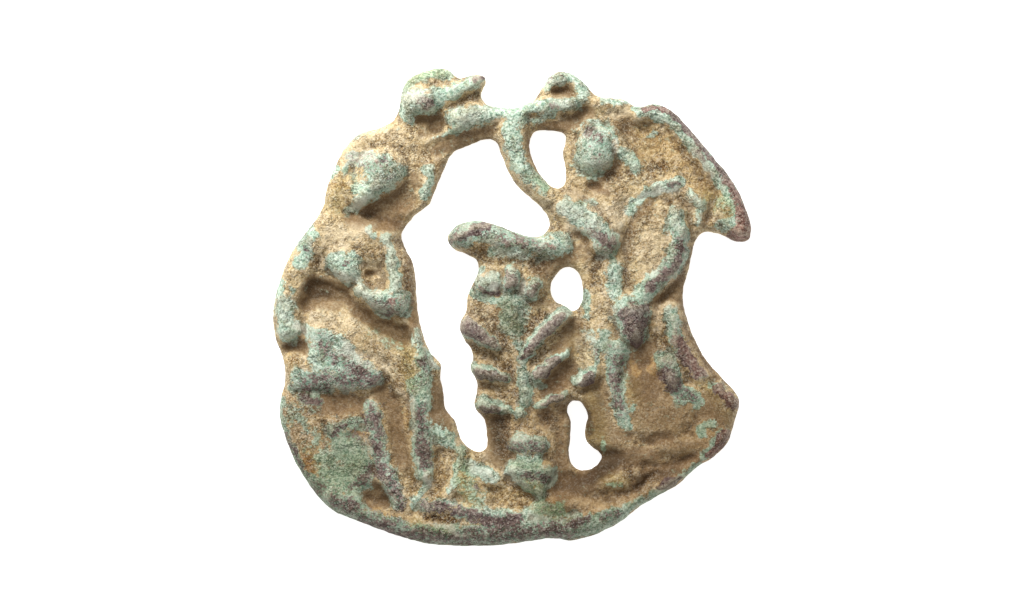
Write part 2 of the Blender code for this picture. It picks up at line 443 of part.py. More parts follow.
def badge_mesh():
    """The badge as one closed body, in metres."""
    rough = [smooth_path(points, closed=True) for points in (OUTER, *OPENINGS)]
    rims = [evenly_spaced(loop, OUTLINE_STEP) for loop in rough]
    # Every loop runs clockwise, so the material is on the right of the outer one only.
    backs = [inset(rim, DRAFT, towards_left=number > 0) for number, rim in enumerate(rims)]
    grid = surface_points(rims)

    body = bmesh.new()
    front = [(x, y, PARTING) for x, y in np.vstack(rims)]
    front += [(x, y, z) for (x, y), z in zip(grid, front_height(grid, rims))]
    back = [(x, y, 0.0) for x, y in np.vstack(backs)]
    corners = [body.verts.new(Vector(spot) * MM) for spot in front + back]
    first_back = len(front)

    for a, b, c in triangles_between(rims, grid):
        body.faces.new((corners[a], corners[b], corners[c]))
    for a, b, c in triangles_between(backs, ()):
        body.faces.new((corners[first_back + c], corners[first_back + b], corners[first_back + a]))
    first = 0
    for rim in rims:
        for number in range(len(rim)):
            here = first + number
            following = first + (number + 1) % len(rim)
            below, below_following = corners[first_back + here], corners[first_back + following]
            body.faces.new((corners[here], corners[following], below_following, below))
        first += len(rim)

    bmesh.ops.triangulate(body, faces=[face for face in body.faces if len(face.verts) > 3])
    bmesh.ops.recalc_face_normals(body, faces=body.faces)
    mesh = bpy.data.meshes.new("badge")
    body.to_mesh(mesh)
    body.free()
    return mesh


def patinated_bronze():
    """Corroded copper alloy: a dull, pale grey-green patina."""
    material = bpy.data.materials.new("patinated_bronze")
    material.use_nodes = True
    shader = material.node_tree.nodes["Principled BSDF"]
    shader.inputs["Base Color"].default_value = (0.33, 0.35, 0.26, 1.0)
    shader.inputs["Roughness"].default_value = 0.85
    shader.inputs["Metallic"].default_value = 0.1
    return material


def main():
    for old in list(bpy.data.objects):
        bpy.data.objects.remove(old, do_unlink=True)
    mesh = badge_mesh()
    mesh.materials.append(patinated_bronze())
    mesh.shade_smooth()
    mesh.set_sharp_from_angle(angle=math.radians(40.0))
    badge = bpy.data.objects.new("badge", mesh)
    bpy.context.collection.objects.link(badge)


main()
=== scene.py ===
"""Looks of the openwork pilgrim badge: the corroded casting, the floor, the light and the camera.

The badge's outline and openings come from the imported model. Its relief is sculpted here again, finer
than in the model: large masses, then details on them, then hollows and creases cut into them, then
the grain of the corrosion. Lengths are in millimetres until the mesh is made. X runs to the angel's
side, Y to the top of the scene and Z from the flat back to the relief.
"""

import math

import bpy
import numpy as np
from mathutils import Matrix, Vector
from mathutils.geometry import delaunay_2d_cdt


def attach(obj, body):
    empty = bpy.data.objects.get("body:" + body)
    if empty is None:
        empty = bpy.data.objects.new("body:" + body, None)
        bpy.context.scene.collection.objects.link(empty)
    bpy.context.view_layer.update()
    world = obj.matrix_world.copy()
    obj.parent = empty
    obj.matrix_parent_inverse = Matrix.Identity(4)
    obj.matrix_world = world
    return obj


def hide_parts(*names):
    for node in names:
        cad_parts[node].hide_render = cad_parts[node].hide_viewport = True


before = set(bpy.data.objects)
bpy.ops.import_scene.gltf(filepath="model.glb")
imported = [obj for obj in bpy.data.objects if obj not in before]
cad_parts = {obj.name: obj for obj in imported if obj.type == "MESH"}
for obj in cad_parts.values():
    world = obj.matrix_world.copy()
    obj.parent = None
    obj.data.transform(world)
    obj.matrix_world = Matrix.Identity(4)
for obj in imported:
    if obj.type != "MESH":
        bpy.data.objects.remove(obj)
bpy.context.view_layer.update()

MM = 0.001

# Mesh and raster.
RASTER = 0.1           # spacing of the raster that the relief is sculpted on
RASTER_REACH = 22.4    # the raster runs this far each way from the middle
RIM_STEP = 0.17        # spacing of the points along the outlines
FRONT_STEP = 0.150     # spacing of the points on the front
BACK_STEP = 0.36       # spacing of the points on the back
SHOULDER_RINGS = (0.03, 0.08, 0.16)  # extra rows of points along the front's edge, this far in
GRID_GAP = 0.7         # share of its step that a grid keeps away from the points along the edge
WALL_ROWS = 5          # rows of faces between the parting line and the back
EDGE_REACH = 1.6       # distances from the edge are measured this far in
RIM_PIECE = 12         # and for this many steps of the outline at a time
STRAY = 0.6            # farthest that noise moves the edge of a stroke
NOISE_PERIOD = 512     # grains after which the noise repeats
WELD = 0.001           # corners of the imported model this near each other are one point
LEVEL_TOLERANCE = 0.01 # points this near the parting line's height lie on it

# Casting, with heights above the back.
PLATE = 1.9            # plain web between the figures
SHOULDER = 0.85        # width of the rounded edge of the front
DRAFT = 0.28           # how far the back is inset
LOWEST_FRONT = 1.25    # no hollow is cut below this
MASS_SHARE = 0.78      # share of its listed rise that a mass is given
HOLLOW_SHARE = 0.62    # share of its listed depth that a hollow is given
FORM_POWER = 0.5       # profile powers: 0.5 is a half round, 1 a parabola
HOLLOW_POWER = 1.0
FLATNESS = 2.6         # 2 is round topped, more is flatter
FOOT = 0.28            # share of a form's rise that runs out around its foot
FOOT_FALL = 1.4        # how quickly the foot runs out
FORM_BLUR = 0.19       # the casting has softened every edge of its forms this far

# Corrosion, as height in the relief.
GRAIN_HEIGHT = 0.045
LUMP_HEIGHT = 0.042
FLAKE_DEPTH = 0.07     # depth of places where the crust has flaked off
LOWEST_UNEVEN = 0.1    # unevenness of the deepest hollows
RIM_WANDER = 0.045     # how far the corroded edge strays from a smooth line
WALL_UNEVEN = 0.05
BACK_SUNK = 0.10       # how far the back is hollow, away from its edge
BACK_UNEVEN = 0.07
BACK_FLAT_FROM = 1.2   # distance from the edge at which the back has sunk fully
PIT_COUNT = 2600
PIT_SIZES = (0.10, 0.24)
PIT_DEPTHS = (0.05, 0.20)
PITTED_REACH = 21.5    # pits are strewn this far each way from the middle

# Patina, with painted shade and painted highlights.
PATCH_POWER = 0.8      # profile powers of the colour patches
BROWN_AND_SHADE_POWER = 0.7
GRIME_AND_SHADE_POWER = 1.0
OLIVE_BLUR = 0.2
GRIME_AND_SHADE_BLUR = 0.4
# Cavities and crevices are given painted shade, crests painted highlights.
CAVITY_REACH = 0.5     # what lies lower than its surroundings this far around is a cavity
CREVICE_REACH = 0.2    # the same for crevices
BUMP_DEPTH = 0.2       # depth of the finest grain, which is not in the mesh
WALL_UNROLLED = 0.55   # width of the walls in the texture
FRONT_SHARE = 0.73     # share of the texture's width that the front takes up

# Floor and light, in metres.
FLOOR_REACH = 1.6
FLOOR_GAP = 0.00002    # the floor lies this far below the back
KEY_DISTANCE = 0.135
KEY_SIZE = (0.07, 0.055)
KEY_TURN = math.radians(114.0)   # turned from the angel's side, 90 is the top of the scene
KEY_HEIGHT = math.radians(38.0)  # raised from the floor
KEY_POWER = 0.257
SKY_STRENGTH = 0.5

# Camera.
PICTURE_WIDTH = 92.16  # width that it sees at the level of the parting line
LENS = 110.0
SENSOR = 36.0

# Relief. A form is (path, half width, rise). Where the width or the rise is a pair, it runs evenly from
# the first value at the start of the path to the second at its end. Masses are the large volumes, which
# blend into each other. Details stand on them, and hollows are cut into both.
MASSES = [
    # seated figure: veil, head, nape, breast, back
    ([(-15.8, 11), (-14.6, 13.6), (-12.4, 14.9), (-9.6, 15.2)], 1.4, (0.5, 0.4)),
    ([(-13.5, 10.6), (-11.7, 12.2)], (1.75, 2.3), (1.9, 2.2)),
    ([(-15.6, 10.6), (-15.9, 9.2)], (1.2, 1.3), (0.8, 0.9)),
    ([(-16.6, 6.4), (-13.6, 6.4), (-11.6, 6.4)], (2.1, 1.4), (1.5, 1.2)),
    ([(-15.2, 4.4), (-14.8, 3.4)], (1.5, 1.35), 1.8),
    ([(-13.3, 5), (-12, 4.9)], (1.1, 1), 1),
    ([(-17.6, 6.6), (-18.8, 4.2), (-20.1, 1), (-20.2, -1.9)], (1.5, 1.25), (1.4, 1.5)),
    ([(-17, 5), (-16.9, 3.8)], (0.6, 0.5), 0.6),
    # seated figure: forearms, lap, thigh
    ([(-11.5, 6.4), (-10.9, 5), (-10.5, 3), (-10.4, 1.8)], (0.8, 0.9), (1.5, 1.7)),
    ([(-13.6, 1.5), (-12, 0.6), (-10.5, 0.5)], (0.6, 1.35), (1.5, 1.9)),
    ([(-9.6, 4.6), (-9.4, 1.2)], 0.7, 0.7),
    ([(-17, -1.6), (-14, -2.6), (-11.8, -3.7)], (1.7, 1.4), 1.2),
    ([(-17.2, -4.9), (-14.8, -5.5), (-13.2, -6)], (2.9, 1.7), (1.5, 1.3)),
    ([(-20, -5.2), (-19.4, -6.6)], 1, (0.8, 0.9)),
    ([(-10.2, -4.2), (-9.8, -7.4)], (1.2, 0.9), (0.9, 0.7)),
    ([(-14, 3), (-13.6, 2.2)], (0.7, 0.6), 0.9),
    ([(-12, -4.4), (-11.2, -5.4)], (0.8, 0.7), 0.6),
    # seated figure: skirt and its folds
    ([(-18.4, -9.8), (-17.2, -13), (-14.6, -15.4)], (2.6, 2.4), (0.8, 0.9)),
    ([(-15, -11), (-14, -13.4)], (1.7, 1.8), 1.2),
    ([(-12.6, -9.2), (-12.2, -11.2), (-11.6, -14), (-10.6, -16.2), (-9.6, -18)], (0.9, 0.8), (0.5, 0.8)),
    ([(-8.6, -2.6), (-8.2, -8), (-8, -14.6)], (1, 1.05), (1.2, 1)),
    ([(-6.4, -10.6), (-5.6, -12)], (1.2, 1), (0.7, 0.6)),
    ([(-4.7, -12.2), (-4.7, -14.2), (-5.2, -16), (-7, -17.8)], (0.6, 0.55), (0.9, 0.7)),
    # pointing arm
    ([(-4.5, 6.3), (-2, 6.4), (0.8, 5.6), (4.2, 5.6)], (1.5, 1.25), (1.6, 1.3)),
    ([(-1.4, 4.8), (1.6, 4.4)], 0.8, 0.6),
    # lily and pot
    ([(0.9, -12.2), (2.1, -12.3)], (1.25, 1.2), (1.4, 1.3)),
    ([(0.3, -14.5), (2.9, -14.6)], (0.75, 0.8), (1.3, 1.4)),
    ([(1.7, -14.9), (2.1, -15.8), (2.6, -16.8)], (1.75, 0.45), (1.4, 1.1)),
    ([(1.1, -13.5), (1.9, -13.6)], 0.8, 0.8),
    ([(-2, 2.4), (0.2, 2.7), (1.9, 2)], (1.5, 1.3), 0.9),
    ([(-0.6, 0.4), (0, -1.4)], (1.9, 1.1), 0.6),
    ([(0, 0.4), (0.2, -2.4), (0.6, -4.2), (1, -6.2), (1.3, -8.6)], (0.9, 0.5), (0.9, 0.8)),
    ([(-4, -1.8), (-2.8, -2.5), (-1.5, -3.6)], (1.2, 0.7), (1.6, 1.1)),
    ([(-3.2, -5.8), (-2, -5.9), (-0.8, -6.4)], (0.8, 0.5), (1.4, 0.9)),
    ([(-2.6, -8.8), (-1.5, -9.1), (-0.5, -9.3)], (0.7, 0.45), (1.3, 0.8)),
    ([(4.6, -0.8), (3.2, -1.8), (2, -3.2), (1.1, -4.4)], (0.85, 0.65), (1.5, 1)),
    ([(4.8, -4.2), (3.6, -4.9), (2.4, -6)], (0.5, 0.75), (1.2, 1.1)),
    ([(4.6, -8), (3.5, -8.3), (2.5, -8.9)], 0.45, (1, 0.8)),
    ([(7.2, -6), (6.1, -6.7)], (0.7, 0.6), (1.1, 0.95)),
    ([(0.6, -9.4), (0.7, -9.6)], (0.55, 0.5), (0.9, 0.8)),
    # angel: head, hair, arms, breast and hand
    ([(7.4, 13.7), (7.6, 14.6)], (1.8, 1.75), (2, 1.9)),
    ([(9, 15.6), (9.8, 14.2), (11.2, 12.6)], (0.8, 0.7), (1, 0.8)),
    ([(8.4, 9.8), (11.4, 10.9), (14.2, 11.5)], (1.3, 0.8), (0.7, 0.6)),
    ([(4.9, 9), (6.8, 7.7), (8.4, 5.8)], (1.3, 1.4), (1.3, 1.9)),
    ([(12.6, 7.6), (12.2, 3.2)], (2.1, 1.8), 0.9),
    ([(14.7, 8.6), (14.9, 6.2), (14.4, 4), (12, 1.4)], (0.9, 1.2), (1.3, 1.7)),
    ([(9, 4), (9, 1)], (1.2, 1.1), 0.9),
    ([(10.7, -0.3), (10.9, -2.1)], (1.9, 1.3), (1.9, 1.6)),
    ([(7.6, 0.5), (7.9, -2.5), (7.8, -5)], (1.4, 1.3), (0.8, 1)),
    ([(8.7, 9), (9.3, 7.5)], (1, 0.7), 0.8),
    ([(4.9, 7.3), (5.6, 7)], 0.5, 0.5),
    ([(14.4, 10.2), (12.9, 9.9)], 0.5, (0.4, 0.35)),
    # angel: folds of the robe, its knee and its hem
    ([(9.4, -3.6), (9.1, -5.6), (9.2, -7.4), (9.9, -9.2), (10.4, -10.8)], (0.95, 0.5), (1, 0.6)),
    ([(14.2, -0.2), (14.8, -2.6), (15.8, -4.6), (17, -6.2)], (1, 0.9), (1.2, 1)),
    ([(14, -5), (14.4, -6.4)], (1, 1.2), 1.2),
    ([(14.6, -7.2), (15.8, -7.6), (16.3, -8.8)], (0.8, 0.6), (1, 0.6)),
    ([(12.4, -8.2), (13.6, -9.2)], (3.2, 3), (0.8, 0.9)),
    ([(17, -8), (18.4, -9.6), (17.6, -11.2)], (1.5, 1.4), (0.8, 0.7)),
    ([(18.4, -7.3), (20.2, -8.7)], (0.8, 0.7), 1),
    ([(19, -11.3), (17.8, -13.3)], (0.7, 0.6), (0.9, 0.8)),
    ([(13.6, -12.5), (17.2, -12.3)], (0.9, 0.8), (0.8, 0.7)),
    ([(12.9, 0.2), (13.2, -1.8)], 0.8, 0.6),
    # wing
    (
        [(11.4, 17.3), (12.8, 17.6), (14.4, 16.9), (16.9, 14.1), (19.3, 11), (20.9, 7.2)],
        (0.85, 1.1),
        (0.9, 1.3),
    ),
    ([(19.3, 8.6), (20.6, 7.3)], (1.3, 1.1), (1.1, 1.3)),
    ([(7.6, 18.4), (10.4, 18.2)], (0.8, 0.7), (0.7, 0.5)),
    ([(15.9, 10.3), (16.9, 9.3), (16.8, 7.9)], 0.7, (0.8, 0.6)),
    ([(16.4, 13.9), (18, 11.3)], 0.6, (0.4, 0.45)),
    # bird, bar, strap and ring
    ([(0.1, 17.2), (0.2, 14.6), (1.1, 12.2), (3, 10.4)], 1.3, (1.2, 1.1)),
    ([(-4.5, 16.9), (-2.6, 17.3), (0, 17.7)], (1.25, 0.85), (1.4, 0.9)),
    ([(0, 17.7), (2.6, 18.1), (5.2, 18.1)], 0.85, (1, 1.2)),
    ([(3, 19.6), (3.6, 20.4), (5, 20.6), (6.2, 19.8), (6.4, 18.8)], 0.85, 0.9),
    ([(-8.4, 18.4), (-7.8, 18.5)], (1.65, 1.55), 1.8),
    ([(-7, 18.9), (-5.2, 19.3), (-3.4, 20.2)], (1.15, 0.9), (1.2, 1.1)),
    ([(-9.4, 20), (-8, 20.8), (-5.9, 20.8)], (0.9, 0.8), (0.8, 0.7)),
    ([(-9.4, 17.6), (-9.1, 16.9)], (0.8, 0.6), (1, 0.8)),
    ([(-8.4, 20.2), (-6.4, 20.3)], 0.6, (0.7, 0.6)),
    # ground
    ([(-15.8, -16.8), (-12, -18.9), (-7, -19.9), (0, -20), (5, -19.7)], (1.2, 1.1), 1),
    ([(5, -19.7), (8.6, -18.8), (12.2, -17), (14.8, -15.5), (17.2, -13.8)], (1.1, 0.9), (1, 0.8)),
    ([(-3.6, -14.9), (-1.4, -15.4)], (0.9, 0.8), 0.6),
    ([(-4, -16), (-2.9, -17.2)], (1.1, 1), (0.9, 0.7)),
    ([(-7.4, -17.9), (-5.2, -18.2), (-2.6, -18.6), (0.8, -19)], (0.85, 0.9), (1, 0.8)),
    ([(2.6, -18.2), (4.4, -18)], (1.1, 1), (0.9, 0.8)),
]

DETAILS = [
    # seated figure
    ([(-12.2, 10.7), (-13.4, 9.8), (-14, 8.8)], 0.7, 0.5),
    ([(-14, 13.1), (-12.2, 13.2)], 0.7, 0.15),
    ([(-7.6, 12.4), (-7.5, 11.4), (-8.1, 10.1)], (0.5, 0.4), (0.35, 0.3)),
    ([(-12.9, 6.9), (-12.5, 6.4)], (0.45, 0.4), (0.35, 0.3)),
    ([(-11.4, 6.2), (-10.8, 4.4), (-10.5, 2.2)], (0.4, 0.45), (0.2, 0.3)),
    ([(-13.8, 1.6), (-11.8, 1.2), (-10.3, 1.6)], 0.4, (0.3, 0.25)),
    ([(-17.8, -2.2), (-16, -2.6), (-14.6, -3.6)], 0.6, 0.3),
    ([(-16.2, -10.4), (-15.6, -12.4)], 0.5, (0.3, 0.2)),
    ([(-13.4, -15.2), (-11.4, -15.6)], (0.6, 0.5), 0.3),
    ([(-7.6, -15), (-7.8, -16.2), (-8.7, -17.3)], (0.38, 0.3), (0.4, 0.3)),
    ([(-8.9, -7.4), (-8.8, -10.6)], 0.3, (0.2, 0.15)),
    # pointing arm
    ([(-5, 6.2), (-3.6, 6.9), (-2.3, 7.4)], (0.5, 0.4), (0.35, 0.3)),
    ([(-1.2, 6), (1.8, 5.5), (3.8, 5.4)], 0.5, 0.2),
    # lily and pot
    ([(-2.6, 2.2), (-1.7, 2.4)], 0.9, 0.5),
    ([(-2.7, 1.7), (-1.5, 1.5)], 0.35, 0.3),
    ([(-0.1, 2.1), (0.1, 3.2)], (0.75, 0.7), (0.9, 0.7)),
    ([(1.8, 1.5), (2.1, 2.1)], (0.8, 0.65), (0.7, 0.6)),
    # angel
    ([(15, 11.1), (13.3, 10.7), (11.7, 9.9), (10.6, 8.8), (9.9, 7.4)], (0.7, 0.5), (0.42, 0.22)),
    ([(14.5, 8.7), (14.6, 7.6), (15.2, 6.6)], 0.45, 0.35),
    ([(10.9, -0.2), (11, -2.6)], (0.9, 0.5), (0.35, 0.3)),
    ([(14.4, -1), (14.6, -3.4)], 0.35, 0.3),
    ([(14.2, -6), (14.5, -6.6)], 0.7, 0.3),
    ([(13.1, -4.8), (12.7, -5.6)], (0.45, 0.4), (0.35, 0.3)),
    ([(11.9, -13.3), (12.5, -13.7)], (0.4, 0.35), 0.3),
    # wing
    ([(16.3, 9.9), (17, 9.1)], 0.35, 0.3),
    # bird, bar, strap and ring
    ([(-4.9, 16.8), (-3.4, 17.3)], (0.6, 0.5), (0.3, 0.2)),
    ([(-7.3, 15), (-6.2, 15.5), (-4.7, 15.9)], (0.25, 0.35), (0.15, 0.35)),
    ([(-6.3, 18.1), (-5.6, 17.6), (-5.1, 17.1)], 0.3, (0.3, 0.35)),
    # ground
    ([(13.2, -16.3), (15.4, -15.2)], (0.6, 0.5), (0.5, 0.4)),
    ([(11.1, -14.8), (11.5, -15.1)], (0.42, 0.36), (0.8, 0.6)),
    ([(12.3, -15.9), (12.6, -16.2)], 0.3, 0.4),
    ([(6.6, -16.3), (8.4, -15.6), (10.2, -15.5)], (0.9, 0.8), (0.45, 0.5)),
    ([(5.2, -17.5), (8.2, -17.8)], (0.8, 0.6), 0.4),
]

HOLLOWS = [
    # seated figure
    ([(-12.9, 8.3), (-11.4, 8.8), (-9.6, 10)], (0.8, 1.5), (0.7, 0.9)),
    ([(-11.4, 7.7), (-10.2, 7.6)], (0.9, 0.8), 0.9),
    ([(-15.8, 9.2), (-14.4, 8.2)], (0.35, 0.4), (0.35, 0.5)),
    ([(-8.2, 11), (-8.1, 10.3)], 0.25, 0.4),
    ([(-17.3, 1.4), (-16.6, 1.4), (-15.5, 1), (-14.6, 0.5)], (1.15, 0.7), (2, 1.1)),
    ([(-18.4, 0.4), (-17, 0.9)], 0.8, 0.9),
    ([(-14.2, 0.1), (-12.9, -1.1), (-11.2, -2), (-9.8, -2.4)], (0.5, 0.95), (0.9, 1.6)),
    ([(-17.4, 5.2), (-17.3, 4)], (0.4, 0.45), (0.15, 0.2)),
    ([(-12.9, 3), (-12.3, 2.95)], (0.4, 0.35), (1.1, 0.9)),
    ([(-13.2, 2.6), (-11.8, 2.3)], (0.5, 0.4), (0.2, 0.15)),
    ([(-20.3, -3.5), (-18.9, -3.6)], (0.6, 0.9), (1.2, 1.6)),
    ([(-17, -8.5), (-13.6, -8.4)], (1, 0.8), (0.4, 0.5)),
    ([(-19.6, -7.7), (-17.6, -8)], (0.4, 0.5), (0.3, 0.35)),
    ([(-16.9, -10.2), (-16.8, -13)], 0.3, (0.5, 0.4)),
    ([(-14.4, -11.6), (-13.6, -11)], 0.4, 0.4),
    ([(-11.3, -7.4), (-10.6, -10), (-10.2, -13.4)], (0.95, 0.85), (0.7, 0.6)),
    ([(-6.4, -13.2), (-6.3, -16.2)], (0.7, 0.55), (0.5, 0.4)),
    ([(-9.2, -14.9), (-8.9, -16.4)], (0.6, 0.5), (0.5, 0.4)),
    ([(-13, -16.6), (-11.8, -16.7)], (0.9, 0.8), (0.35, 0.6)),
    ([(-13.3, -17.2), (-11.4, -17.4)], (0.6, 0.7), (0.7, 1.3)),
    # lily and pot
    ([(-0.95, 3.3), (-0.95, 1.6)], 0.25, (0.6, 0.5)),
    ([(0.95, 3), (1.05, 1.6)], (0.25, 0.22), (0.5, 0.25)),
    ([(-3.4, -3.7), (-2.4, -4.3), (-1.4, -4.7)], (0.7, 0.5), 0.5),
    ([(-3, -7), (-1.4, -7.3)], (0.45, 0.4), 0.7),
    ([(5.2, -2), (4.2, -3.3), (3, -4.4)], (1, 0.7), (0.45, 0.4)),
    ([(5, -5.6), (4, -6.7), (2.8, -7.4)], (1.1, 0.8), 0.6),
    ([(4.4, -9.8), (2.8, -10.2)], (0.9, 0.8), 0.7),
    ([(-1.3, -10.4), (-1.3, -12.6)], (1.1, 1), (0.8, 0.7)),
    ([(4.2, -10.6), (4.3, -13.6), (4.4, -16.2)], (0.8, 0.7), (0.8, 0.7)),
    # angel
    ([(7, 10.8), (7.7, 10.8)], (0.4, 0.45), 1),
    ([(8.5, 11.6), (9.6, 12.8)], 0.5, (0.5, 0.4)),
    ([(13.2, 9.6), (12.3, 9.2), (11.3, 8.2), (10.6, 6.9), (10.1, 5.6)], (0.35, 0.5), (0.35, 0.75)),
    ([(15.2, 9.5), (15.3, 9)], 0.3, 0.5),
    ([(15.4, 2.8), (14.2, 1.4), (13.2, 0.4)], 0.8, (0.4, 0.5)),
    ([(10.2, 5), (10.2, 3.4), (10.4, 2.4)], (0.32, 0.28), (0.45, 0.25)),
    ([(7.8, 4.4), (7.4, 3)], (0.6, 0.5), (0.5, 0.4)),
    ([(7.8, 4.7), (8.8, 4.1), (9.9, 4.3)], 0.3, (0.55, 0.4)),
    ([(13, -0.6), (12.9, -1.6), (12.8, -3.2)], (0.4, 0.45), (0.2, 0.4)),
    ([(11.6, -4.4), (11.2, -5.6)], 0.9, 0.3),
    ([(11.5, -5.6), (12, -5)], (0.6, 0.5), (0.5, 0.6)),
    ([(11.8, -12), (14, -11.9)], (0.6, 0.5), (0.5, 0.35)),
    ([(11.8, -14.2), (14, -14.1), (16.2, -13.6)], (0.35, 0.4), (0.5, 0.35)),
    ([(11.1, -16.3), (11.6, -15.8), (12.1, -15.2)], (0.28, 0.2), (1, 0.7)),
    ([(10.5, -14.9), (10.8, -15.6)], 0.3, 0.6),
    ([(12.3, -15.5), (13.1, -14.8)], (0.25, 0.2), (0.8, 0.7)),
    ([(8.4, -17.2), (9.6, -16.9), (11, -16.7)], (0.35, 0.3), (0.3, 0.4)),
    ([(8.2, -13.4), (9.6, -13.4)], (1, 0.8), (1.2, 0.7)),
    ([(4.8, -15.4), (6.6, -15.3), (8.6, -14.6)], (0.9, 0.8), (1.1, 0.9)),
    ([(5.9, 6.6), (6.7, 5.9)], (0.3, 0.45), (0.6, 0.9)),
    ([(-4.2, 5.5), (-2.8, 5.3)], 0.3, 0.35),
    ([(6.2, -7.6), (7.6, -7.2)], 0.5, (0.6, 0.5)),
    ([(10.2, 6.7), (10, 5.6)], 0.25, 0.5),
    # wing
    ([(12, 15.9), (14.6, 14.6), (16.8, 12.2), (18, 10.6)], (0.9, 0.8), (0.6, 0.5)),
    ([(10.2, 16.2), (11.6, 15.6)], (0.8, 0.9), (0.6, 0.5)),
    ([(18.2, 10.2), (17.9, 9.2), (17.6, 8)], (0.3, 0.5), (0.3, 0.7)),
    ([(13.4, 16.4), (15.3, 15.1), (17, 12.7), (18.2, 11)], 0.3, (0.25, 0.2)),
    ([(12.5, 12.4), (12.9, 12.3)], 0.22, 0.8),
    ([(13.3, 12.7), (13.6, 12.5)], 0.2, 0.7),
    # bird, bar, strap and ring
    ([(-8.1, 16.9), (-6.9, 16.7), (-6.8, 16.3)], (0.8, 1.1), (0.9, 1.5)),
    ([(-5, 18.2), (-4.2, 18.8), (-3.2, 19)], (0.3, 0.5), (0.35, 0.75)),
    ([(-7.4, 14), (-6, 14.5), (-4.2, 15), (-2.4, 15.4)], (0.8, 0.9), (0.7, 0.6)),
    ([(3.9, 19.4), (4.9, 19.6)], (0.35, 0.3), (1.2, 1.1)),
    ([(5.4, 19.3), (4, 19.2)], (0.35, 0.3), (0.3, 0.25)),
    ([(2.3, 16.1), (4.2, 16.5), (6.4, 17.5)], (0.45, 0.7), (0.5, 0.9)),
    # ground
    ([(-1.4, -16.9), (1, -17.6)], (0.8, 0.7), 0.4),
    ([(-0.6, -15.5), (0.7, -16.4), (1.9, -17.3)], (0.4, 0.35), (0.7, 0.6)),
    ([(4.3, -15.4), (3.9, -16.5)], (0.4, 0.35), 0.6),
    ([(-7.4, -18.9), (-5.4, -19.2)], (0.3, 0.25), (0.3, 0.25)),
    ([(10.5, -15.3), (10.9, -16)], 0.2, 0.7),
]

